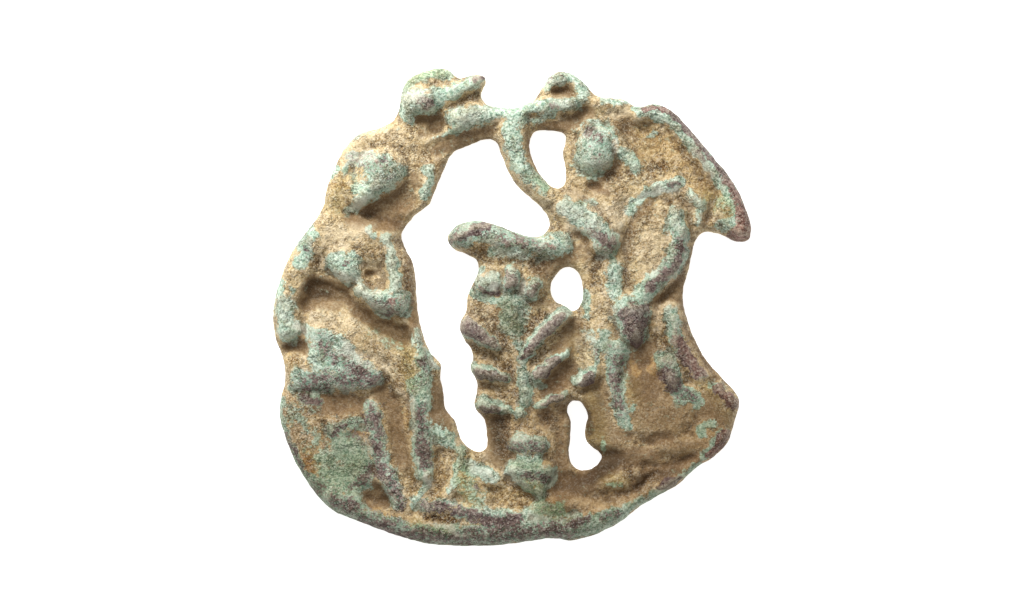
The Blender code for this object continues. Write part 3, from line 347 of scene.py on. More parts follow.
# Colour patches, given the same way: (path, half width, strength).
# Verdigris.
GREEN = [
    # seated figure
    ([(-14.2, 13.2), (-12.4, 13.2), (-11, 12.6)], (0.8, 0.9), (0.7, 0.9)),
    ([(-12.2, 12), (-10.6, 11.8)], (1, 0.9), (0.9, 1)),
    ([(-14.4, 12.2), (-13.2, 11.6)], 0.8, 0.35),
    ([(-14, 10.5), (-12.3, 11)], 0.5, 0.8),
    ([(-13.6, 9.4), (-12.2, 10.4), (-10.6, 11.3), (-9.8, 12.2)], 0.6, (1, 0.9)),
    ([(-14.2, 8.8), (-13.2, 9.7), (-12.2, 10.4)], (0.6, 0.45), (1, 0.9)),
    ([(-16.2, 11.7), (-15.8, 12.4)], 0.4, 0.9),
    ([(-15.1, 11.9), (-14.9, 12.6)], 0.25, 0.7),
    ([(-15, 14.6), (-13.6, 15.6)], 0.25, (0.6, 0.5)),
    ([(-7.6, 12.4), (-7.3, 11.6), (-8, 10)], (0.55, 0.45), (0.9, 0.8)),
    ([(-18.4, 7), (-17.6, 6.4)], (0.6, 0.4), (1, 0.8)),
    ([(-18.8, 5.9), (-18.4, 5), (-18.9, 4)], 0.7, 0.9),
    ([(-20.6, 2.3), (-21, 1)], 0.4, 0.9),
    ([(-19.8, 1.9), (-19.6, 1.3)], 0.3, 0.7),
    ([(-20.4, 0.2), (-20.3, -1.2), (-20, -2.6)], 0.95, 1),
    ([(-19.2, -1.6), (-17.8, -2.2)], 0.5, (0.7, 0.8)),
    ([(-15.6, 3.9), (-14.7, 3.9), (-14.5, 2.9)], (1.15, 1), 1),
    ([(-12.9, 7), (-12.4, 6.3)], (0.4, 0.35), 1),
    ([(-11.4, 6.3), (-10.8, 4.6), (-10.4, 1.9)], (0.5, 0.6), (0.9, 1)),
    ([(-13.7, 1.7), (-12.2, 0.7), (-10.2, 0.5)], (0.45, 1.2), 1),
    ([(-12, -0.4), (-9.4, -0.5)], (0.6, 0.5), (1, 0.9)),
    ([(-17.8, -2.5), (-16, -2.9), (-14.6, -3.8)], 0.7, 1),
    ([(-17, -4.4), (-14.8, -5.1), (-13, -5.9)], (1.5, 0.9), 1),
    ([(-18.9, -6.4), (-16.6, -6.8), (-13.8, -6.6), (-12, -6.4)], (1, 0.7), 1),
    ([(-13, -2.4), (-11.4, -2.9), (-10.2, -3.5)], (0.6, 0.4), 0.35),
    ([(-20.7, -8.2), (-20.7, -10.2)], (0.35, 0.4), 0.8),
    ([(-19.2, -10.2), (-17.8, -12)], (1.2, 0.9), (0.45, 0.5)),
    ([(-16, -11), (-15, -12.4), (-14, -13.6)], (1, 1.9), (0.8, 1)),
    ([(-16.6, -13.4), (-15.8, -15.6), (-13.6, -15.4)], (1.1, 1.4), 0.9),
    ([(-18, -15.8), (-15.8, -17.2), (-14.2, -17.6)], (1, 0.9), 1),
    ([(-19.4, -9.4), (-18.4, -11.4), (-18.2, -12.6)], (0.9, 0.7), 0.4),
    ([(-20.5, -10.6), (-19.9, -12.6), (-18.9, -14.6), (-17.8, -16)], (0.4, 0.6), (0.8, 1)),
    ([(-19.6, -7.4), (-17.6, -7.7)], 0.6, 0.8),
    ([(-12.6, -8.9), (-12.3, -10.6), (-11.9, -13.2), (-10.2, -17.4)], (0.75, 0.9), (0.9, 1)),
    ([(-15, -10.5), (-13.2, -10.4)], (0.6, 0.7), 0.8),
    ([(-14.6, -15.4), (-12.8, -15)], (1, 0.8), (0.7, 0.8)),
    ([(-8.6, -2.2), (-8.5, -3), (-8.2, -4.2)], (0.45, 0.6), 0.7),
    ([(-7.9, -4.5), (-7.7, -5.6), (-8.4, -7)], (0.75, 0.85), 1),
    ([(-7.3, -4.8), (-6.9, -5.3)], 0.35, 1),
    ([(-8.3, -7.2), (-8.1, -11), (-7.9, -14.6)], 0.95, 1),
    ([(-7.6, -15.3), (-7.8, -16.2), (-8.8, -17.3)], (0.4, 0.32), 0.9),
    ([(-6.6, -11.5), (-5.3, -12.2)], (0.9, 0.7), 0.9),
    ([(-4.6, -12.6), (-4.9, -14.6), (-5.6, -16.6)], (0.42, 0.22), (0.9, 0.8)),
    ([(-3.9, -14.3), (-1.8, -15.1)], (0.75, 0.6), 1),
    ([(-4.3, -15.9), (-3.2, -17)], 1.2, (0.48, 0.5)),
    ([(-19.6, -9), (-17.6, -9.3)], (0.8, 0.6), (0.42, 0.35)),
    ([(-14.1, 2.9), (-13.7, 2.4)], (0.45, 0.4), 1),
    ([(-18.1, 5.9), (-17.9, 5.2)], (0.35, 0.3), (0.9, 0.8)),
    ([(-18.8, -8.2), (-17.4, -8.5)], (0.5, 0.45), (0.9, 0.8)),
    ([(-14.2, 4.6), (-13.8, 4.2)], (0.45, 0.4), 1),
    ([(-19.2, -1.8), (-18.6, -2.1)], 0.45, 1.1),
    # pointing arm
    ([(-4.7, 6.5), (-2.6, 7), (0.4, 5.9), (3.2, 5.4), (4.5, 5.8)], (1.3, 1.05), (1, 0.9)),
    ([(-1.6, 5.2), (0.9, 4.7)], (0.65, 0.6), 0.9),
    ([(2.2, 4.2), (4.2, 4.8)], 0.5, 0.6),
    ([(-2.2, 5.8), (-1.4, 5.6)], 0.4, 0.8),
    # lily and pot
    ([(-2.8, 3.4), (-3.3, 2.6)], 0.3, 0.8),
    ([(-2.6, 2), (-1.6, 2.2)], 0.9, 1),
    ([(-0.1, 1.4), (0.1, 3.2)], (0.85, 0.75), 1),
    ([(1.7, 1.2), (2.1, 2.1)], (0.8, 0.6), (1, 0.9)),
    ([(-3.7, 1.3), (-2, 0.7), (1, 0.5)], (0.4, 0.5), 0.9),
    ([(0.1, 0.2), (0.1, -1.6)], (1.5, 1.2), 1.1),
    ([(0.4, -2.2), (0.8, -4.2), (1, -5.8)], (0.6, 0.35), 0.8),
    ([(1.2, -6.4), (1.3, -8.4)], (0.75, 0.7), (1, 0.9)),
    ([(-4.2, -1.9), (-3, -2.5), (-1.5, -3.5)], (1, 0.6), 1.1),
    ([(4.6, -0.6), (3, -1.8), (1, -4.6)], (0.75, 0.6), 1.2),
    ([(-3.3, -5.7), (-2, -5.9), (-0.8, -6.4)], (0.8, 0.55), 1.1),
    ([(4.75, -4.2), (3.6, -4.9), (2.2, -6.1)], (0.42, 0.58), 1.1),
    ([(-2.7, -8.6), (-1.6, -9), (-0.4, -9.2)], (0.75, 0.5), 1.1),
    ([(4.8, -7.8), (3.5, -8.3), (2.4, -8.8)], 0.45, (1.1, 1)),
    ([(0.6, -9.4), (0.7, -9.6)], (0.5, 0.45), 1),
    ([(0.6, -12.1), (2.5, -12.3)], (1, 0.9), 0.9),
    ([(0.2, -14.5), (2, -14.7), (3.1, -15.1)], 0.9, 0.9),
    ([(2, -15.4), (2.5, -16.6)], (0.7, 0.4), 0.5),
    ([(-0.2, -14.8), (1, -15.9), (2.6, -17)], 0.35, 1.1),
    ([(3.9, -14.5), (3.5, -15.6), (2.8, -16.8)], (0.36, 0.32), 1.1),
    ([(0.9, -13.6), (2.2, -13.7)], 0.6, 1),
    ([(0.9, 1.2), (1, 2.2)], 0.3, 1),
    ([(2.1, -6.7), (2.7, -7.1)], (0.4, 0.35), 0.9),
    # angel
    ([(7.3, 13.2), (7.6, 15.2)], (1.8, 1.7), 1),
    ([(8.8, 15.8), (9.5, 14.6)], (0.35, 0.3), 0.6),
    ([(10.1, 13.7), (10.6, 13.1), (11.1, 12.6)], (0.65, 0.6), 1),
    ([(5.1, 8.8), (6.8, 7.7), (8.5, 5.7)], (0.95, 1.15), 1.2),
    ([(6.8, 9.4), (7.4, 9.2)], 0.4, (0.7, 0.6)),
    ([(15, 11.1), (12.8, 10.5), (11.4, 9.7), (10.4, 8.4)], (0.65, 0.5), (1.3, 0.7)),
    ([(16, 10), (16.9, 9.2), (16.7, 7.8)], (0.6, 0.5), (0.8, 0.55)),
    ([(14.5, 8.6), (14.7, 7.6), (15.4, 7)], 0.5, 0.9),
    ([(14.6, 8.2), (15.1, 6), (14.9, 4.4), (13.4, 2.9), (11.8, 1.3)], (0.7, 1), (1.1, 1.2)),
    ([(9.2, 3.4), (9.1, 1.3)], (0.85, 0.7), (0.9, 0.8)),
    ([(10.7, -0.7), (10.9, -2.4)], (1.8, 1.2), 1.2),
    ([(6.7, 1.3), (6.6, 0.4), (6.6, -0.8)], (0.38, 0.35), (0.95, 0.7)),
    ([(8.4, -2.3), (7.7, -3.8), (7.4, -5.4)], (0.55, 0.38), (0.7, 0.9)),
    ([(6.8, -2.4), (7.2, -3.6)], (0.7, 0.6), 0.5),
    ([(7.2, -5.8), (5.9, -6.5)], (0.65, 0.55), 1.1),
    ([(9.4, -4), (9.3, -6.6), (9.7, -9), (10.4, -10.8)], (1.15, 0.5), 1),
    ([(14.1, -0.4), (14.7, -2.6), (15.6, -4.4), (16.7, -5.9)], (0.7, 0.6), 1),
    ([(13.8, -4.6), (14.3, -6.2), (14.9, -7.4), (16.4, -8.2)], (1, 0.8), 1),
    ([(18, -7), (20, -8.5)], (0.6, 0.5), 0.8),
    ([(17.9, -10.4), (16.9, -10.8), (17.1, -11.4)], (0.45, 0.4), 0.8),
    ([(18.9, -11.6), (17.3, -13.4)], (0.7, 0.6), 0.9),
    ([(8.2, -12), (8.2, -12.6)], 0.4, 0.6),
    ([(8.4, -15.8), (9.8, -15.9)], 0.3, 0.6),
    ([(10.4, -9), (10.9, -9.2)], (0.4, 0.3), 0.7),
    ([(14.2, 5.6), (13.9, 4.6)], 0.4, (0.8, 0.7)),
    ([(7.9, 4.6), (8.8, 4.4)], (0.45, 0.4), 0.9),
    ([(14, 7.6), (13.9, 6.8)], 0.4, (0.7, 0.6)),
    # wing
    ([(11.6, 17.8), (14, 17.4), (17, 14.1), (19.4, 11.1), (20.6, 8.4)], (0.8, 0.85), 1.5),
    ([(20.6, 8), (18.6, 7.2)], (0.7, 0.5), (0.9, 0.8)),
    ([(18.3, 9.4), (19.2, 9)], 0.7, 0.4),
    ([(12.4, 15.4), (12.8, 15.7)], 0.3, 0.6),
    ([(13, 16.9), (14.8, 16.3), (17, 13.4), (18.9, 10.8), (19.7, 9.4)], 0.4, 1.1),
    # bird, bar, strap and ring
    ([(-9.7, 19.6), (-8.8, 20.5), (-7.2, 21), (-5.6, 20.9)], (0.6, 0.55), 0.9),
    ([(-9, 18.4), (-7.2, 18.4)], 1.2, 1),
    ([(-9.7, 18.3), (-9.8, 17.3), (-9.2, 16.7)], 0.45, 1),
    ([(-6.8, 18.9), (-4.8, 19.5), (-3, 20.4)], (0.7, 0.6), 1),
    ([(-4.8, 16.9), (-2.6, 17.3), (-0.2, 17.7)], (1.1, 0.6), 1),
    ([(-4.8, 15.9), (-2.2, 16.7)], (0.5, 0.4), 0.6),
    ([(-7, 15.1), (-6.2, 15.5), (-4.9, 15.7)], (0.2, 0.25), (0.6, 0.7)),
    ([(0.1, 17.6), (0.1, 14.6), (0.9, 12.5), (2.7, 10.7)], (0.95, 0.72), (1, 0.85)),
    ([(0.4, 17.8), (3.3, 18.1), (5.6, 18.2), (6.5, 19.3), (5.6, 20.5), (3.6, 20.6)], (0.52, 0.64), 1),
    ([(3.2, 20.2), (3, 19.8)], (0.4, 0.3), 1),
    ([(1.9, 16.8), (3.6, 17.2)], 0.4, (0.6, 0.7)),
    ([(8.3, 18.5), (10.4, 18.4)], (0.45, 0.4), (1, 0.8)),
    ([(1.2, 16.9), (1.9, 16.6)], (0.4, 0.35), (0.8, 0.7)),
    ([(3.6, 20.4), (4.6, 20.3)], 0.4, 1),
    ([(3.7, 20.2), (4.4, 20)], (0.4, 0.35), 1),
    # ground
    ([(-16.6, -17.2), (-13, -19.1), (-8, -20.4), (-2, -20.6)], (1, 1.2), 1),
    ([(-2, -20.3), (2, -20), (6, -19.9), (9.8, -18.6)], (1.4, 0.9), 1),
    ([(-8.6, -17.9), (-5.6, -17.6)], 0.6, 0.8),
    ([(-4.6, -18.4), (0.8, -18.9)], (0.7, 0.6), 0.9),
    ([(2.4, -17.9), (4.1, -18.2)], (0.7, 0.65), 0.9),
    ([(9.8, -18.3), (12.4, -17.1), (14.4, -15.7), (16.8, -14.2)], (0.5, 0.4), 0.8),
    ([(1.2, -18.6), (2.4, -19)], 0.6, 0.9),
    ([(5, -18.5), (6, -18.5)], (0.4, 0.35), 0.9),
]

# Places worn through to purple-brown cuprite.
WORN = [
    # seated figure
    ([(-14.3, 13.3), (-12.8, 13.5), (-11.4, 12.9)], 0.4, 0.6),
    ([(-15.1, 3.9), (-14.7, 3.9)], 0.4, 0.6),
    ([(-18.5, 5.1), (-18.3, 4.9)], 0.4, 0.6),
    ([(-12.4, 0.3), (-11.2, 0.2), (-10.2, 0.6)], (0.4, 0.5), (0.4, 0.7)),
    ([(-12, -0.4), (-10.2, -0.6)], 0.4, (0.6, 0.7)),
    ([(-17.2, -3.2), (-16.2, -4), (-15.8, -4.8)], 0.5, 0.6),
    ([(-14.4, -5.4), (-13, -6)], 0.7, (0.7, 0.75)),
    ([(-18.6, -6.6), (-17, -6.5), (-14.6, -6.6), (-12.2, -6.6)], (1.1, 0.7), (0.5, 0.7)),
    ([(-18.8, -7.3), (-16.4, -7.2)], 0.5, 0.6),
    ([(-15.8, -11.3), (-15.2, -10.7)], (0.5, 0.4), 0.7),
    ([(-12.3, -9.8), (-12, -11.4)], 0.6, (0.8, 0.75)),
    ([(-12.3, -12.2), (-11.8, -13.4)], 0.5, (0.8, 0.75)),
    ([(-13.3, -9.6), (-12.9, -10.8)], (0.45, 0.4), (0.65, 0.6)),
    ([(-12.4, -14.7), (-11.2, -15.4), (-10.3, -16.5), (-9.8, -17.8)], (0.8, 0.65), 0.75),
    ([(-14.4, -15.9), (-13, -15.3)], (0.4, 0.5), 0.7),
    ([(-8, -4.7), (-7.7, -5.8)], (0.45, 0.4), (0.8, 0.7)),
    ([(-8.2, -8.9), (-8, -11.2), (-7.8, -14)], (0.65, 0.8), (0.65, 0.85)),
    ([(-17, -3), (-15.6, -4.6), (-13.2, -5.4)], (1.3, 1.2), (0.42, 0.5)),
    ([(-19, -7), (-15.6, -6.4), (-12, -6.2)], (1.1, 1), 0.5),
    ([(-15.6, -10.6), (-13.4, -11.4)], 1.2, 0.45),
    ([(-14.6, -15.8), (-12.6, -14.8)], (0.8, 0.9), (0.45, 0.5)),
    ([(-12.4, -9), (-12, -13.6), (-10.4, -17)], (1, 0.9), (0.45, 0.48)),
    ([(-8.2, -3.6), (-8.2, -7.2)], (0.8, 0.9), (0.3, 0.36)),
    ([(-12.6, 0.2), (-10, 0.2)], 0.9, (0.42, 0.45)),
    ([(-14, 12.9), (-11, 12)], 1.3, (0.46, 0.36)),
    ([(-12.8, -8.5), (-12.5, -9.4)], 0.5, (0.6, 0.65)),
    ([(-20.2, -11.6), (-19.3, -13.6), (-18.4, -15)], 0.35, (0.75, 0.6)),
    ([(-18.8, -8.2), (-17.4, -8.5)], (0.5, 0.45), 0.75),
    ([(-11.8, -14.2), (-11, -14.7)], 0.5, 0.75),
    # pointing arm
    ([(-5, 6.4), (-2, 6.6), (2, 5.6)], (1.1, 1), (0.5, 0.42)),
    ([(-5.4, 6), (-4.7, 6.6)], (0.4, 0.45), 0.7),
    ([(-4.6, 6.3), (-3.4, 6.9), (-2.2, 7.3)], (0.5, 0.45), (1.05, 1.1)),
    ([(-1.2, 6.2), (0.4, 5.9), (2.4, 5.6)], (0.7, 0.6), (0.55, 0.6)),
    ([(3.2, 5.5), (3.9, 5.4)], 0.4, 0.6),
    # lily and pot
    ([(-2.9, 1.8), (-2.5, 1.3), (-1.3, 1.4)], 0.3, 0.9),
    ([(-0.3, 3), (-0.1, 2.4), (-0.3, 1.5)], (0.5, 0.3), (0.7, 0.9)),
    ([(0.2, 2.8), (0.3, 2)], 0.3, (0.8, 0.6)),
    ([(1.6, 1.1), (2.1, 1.8)], 0.4, 0.8),
    ([(-4.1, -1.7), (-3.2, -2.3), (-1.5, -3.4)], (0.85, 0.4), (1.3, 1.2)),
    ([(4.4, -0.9), (3.2, -1.9), (2.2, -3), (0.9, -4.6)], (0.5, 0.36), (1.3, 1.1)),
    ([(-3.1, -6), (-2, -6.1), (-0.9, -6.4)], (0.45, 0.4), 1.3),
    ([(4, -4.75), (3, -5.5), (2.3, -6.15)], (0.44, 0.42), 1.6),
    ([(-2.7, -9.1), (-1.2, -9.3)], (0.42, 0.36), (1.2, 1.1)),
    ([(4.4, -8), (3, -8.6)], (0.38, 0.34), (1.3, 1.2)),
    ([(0.2, -12.3), (2.4, -12.6)], (0.8, 0.75), (0.6, 0.65)),
    ([(1.1, -15.1), (3.2, -15.3)], 0.5, 0.6),
    # angel
    ([(7, 15.4), (7.8, 13)], (1.3, 1.4), (0.42, 0.36)),
    ([(7.2, 7), (8.6, 5.6)], (0.9, 1), (0.5, 0.58)),
    ([(15, 6.4), (14.6, 4.2), (12.4, 1.8)], 0.9, (0.45, 0.5)),
    ([(9.2, -4), (9.3, -7.4), (10, -9.6)], (1, 0.7), 0.5),
    ([(14.4, -1.4), (15.4, -3.6), (16.8, -6)], 0.8, (0.4, 0.5)),
    ([(14, -5), (14.6, -7.2), (16.2, -8.2)], (1, 0.8), (0.45, 0.5)),
    ([(7, 15.6), (7.7, 15.2)], 0.8, (0.8, 0.75)),
    ([(7, 6.4), (8.9, 6)], 0.35, 0.6),
    ([(14.2, 11), (14.8, 11)], (0.35, 0.3), 0.8),
    ([(15.1, 5.7), (15.1, 4.8), (14.4, 3.4), (12.3, 1.8)], (0.42, 0.5), (0.75, 0.95)),
    ([(10.9, -0.9), (11, -1.8), (11, -2.9)], (1.45, 0.7), (0.95, 1.4)),
    ([(9.9, -0.7), (11.9, -0.1)], (0.6, 0.55), 0.9),
    ([(7.1, -6.35), (6.1, -6.85)], (0.44, 0.38), 1.4),
    ([(7.6, -3.9), (7.6, -4.7)], 0.3, 0.6),
    ([(9.5, -4.4), (9.3, -6.6), (9.6, -8.6), (10, -9.3)], (0.9, 0.45), (0.6, 0.7)),
    ([(14.9, -3), (15.5, -4.2), (16.5, -5.7)], (0.6, 0.75), (1.1, 1.3)),
    ([(13.9, -6.1), (14.4, -6.9)], (0.95, 0.9), 0.95),
    ([(15.5, -7.6), (16.4, -8)], (0.35, 0.3), 0.7),
    ([(18.4, -7.4), (19.3, -8.1), (20.2, -8.8)], (0.6, 0.55), 1.3),
    ([(19, -11.4), (18.6, -12.4), (17.7, -13.3)], (0.5, 0.45), 1.3),
    ([(7.4, 6.7), (8.9, 5.7)], (0.4, 0.45), (0.85, 0.9)),
    # wing
    ([(11.9, 17.7), (13.4, 17.8), (15.7, 16.1), (17.4, 14), (18.3, 12.9)], (0.4, 0.36), (1.1, 0.9)),
    ([(18.4, 12.6), (19.7, 10.8), (20.6, 8.9), (20.9, 7)], (0.42, 0.9), (0.85, 0.8)),
    ([(20.8, 8.6), (20.9, 6.8), (20.2, 6.4)], (0.8, 0.9), (1, 1.1)),
    ([(16.6, 13.8), (17.2, 13.2)], (0.3, 0.25), 0.8),
    ([(19.2, 11), (19.5, 10.4)], (0.3, 0.25), 0.8),
    ([(15.5, 16), (16.6, 14.8)], 0.4, (1.1, 1)),
    # bird, bar, strap and ring
    ([(-8.5, 18.6), (-7.4, 18.25)], 0.6, (0.65, 1)),
    ([(-3.1, 20.6), (-2.7, 20.5)], (0.45, 0.4), 0.9),
    ([(3.3, 20.3), (3.6, 20.5)], 0.3, 0.7),
    ([(4.4, 20.8), (4.7, 20.3)], 0.25, 0.6),
    ([(3.5, 18), (4, 17.9)], (0.35, 0.3), 0.5),
    # ground
    ([(-15.8, -17.3), (-14.2, -17.9)], 0.8, (0.68, 0.72)),
    ([(-17.4, -16.2), (-12.6, -19), (-4, -20.6), (6, -19.6)], 1.2, 0.5),
    ([(-13.6, -19.2), (-9.6, -20.4)], (0.6, 0.7), (0.7, 0.8)),
    ([(-7.8, -17.8), (-5.6, -18.1), (-3.8, -18.4)], (0.65, 0.6), 0.75),
    ([(-3.6, -18.6), (-1.6, -19.2), (0.4, -19.1)], (0.6, 0.7), 0.9),
    ([(-10.4, -20.2), (-5, -20.6), (0, -20.2), (4.8, -20.2)], (1, 0.9), (0.62, 0.68)),
    ([(5.2, -19.5), (6.8, -19.1)], (0.45, 0.4), 0.8),
    ([(8, -18.9), (9.6, -18.4)], 0.4, 0.6),
    ([(13.4, -16), (14.9, -15.4)], (0.55, 0.5), 1),
    ([(-3.4, -15.9), (-2.8, -16.6)], 0.4, 0.6),
    ([(2.8, -17.8), (4, -18.1)], 0.6, (0.5, 0.55)),
]

# Yellower earth.
OCHRE = [
    # seated figure
    ([(-14.2, 12.2), (-13, 11.6)], 0.4, 0.6),
    ([(-16, 10.8), (-14.6, 11)], (0.6, 0.5), 0.7),
    ([(-19.8, 4.6), (-19.8, 3.4)], (0.4, 0.5), 0.6),
    ([(-12.6, 2.3), (-11.4, 2.4)], (0.6, 0.7), 1),
    ([(-20, -4.6), (-18.8, -5)], (0.6, 0.5), 0.8),
    ([(-18.5, -13.3), (-18.1, -14.9)], (0.6, 0.5), 1.8),
    ([(-9.6, -9.4), (-9.2, -10.4)], (0.4, 0.35), (0.8, 0.9)),
    ([(-9.2, -14.8), (-8.7, -16.6)], (0.6, 0.5), (0.7, 0.8)),
    ([(-6.6, -13.8), (-6.4, -16.6)], (0.7, 0.8), (0.7, 0.8)),
    # pointing arm
    ([(-4, 5.3), (-3, 5.6), (-1.9, 5.6)], 0.5, (1.1, 1.2)),
    # angel
    ([(13.6, -0.7), (12.9, -1.2)], (0.4, 0.3), (0.9, 0.7)),
    ([(13.8, -2.2), (13.9, -3.8)], 0.4, 0.8),
    ([(13.1, -4.8), (12.6, -5.6)], (0.6, 0.5), 1.4),
    ([(10.8, -5.2), (11.2, -5.8)], 0.4, 0.9),
    ([(9.6, 5.4), (10.2, 7)], 0.5, 0.5),
    # wing
    ([(12.6, 15), (15.2, 13), (16.8, 11)], (2.2, 1.7), 0.75),
    ([(10.2, 13.6), (12.6, 12.2)], (0.6, 0.8), (0.5, 0.6)),
    # bird, bar, strap and ring
    ([(-9.3, 17.8), (-9.3, 17.5)], 0.3, 1),
    ([(-6, 18.2), (-5.8, 16.8)], 0.4, 0.7),
    ([(-9.6, 19.6), (-9.9, 18.6)], (0.4, 0.3), (0.8, 0.6)),
    ([(1.9, 17.7), (2.4, 17.1)], 0.5, 1),
    # ground
    ([(-12.2, -18.2), (-10.4, -18.7)], 0.4, (0.8, 0.9)),
    ([(-7.4, -18.9), (-5.2, -19.1)], (0.45, 0.4), (1, 0.9)),
    ([(-1.8, -16.2), (1.2, -17.4)], (1.1, 0.9), 1.2),
    ([(5.4, -17.6), (8.6, -18)], (0.8, 0.5), (0.5, 0.7)),
]
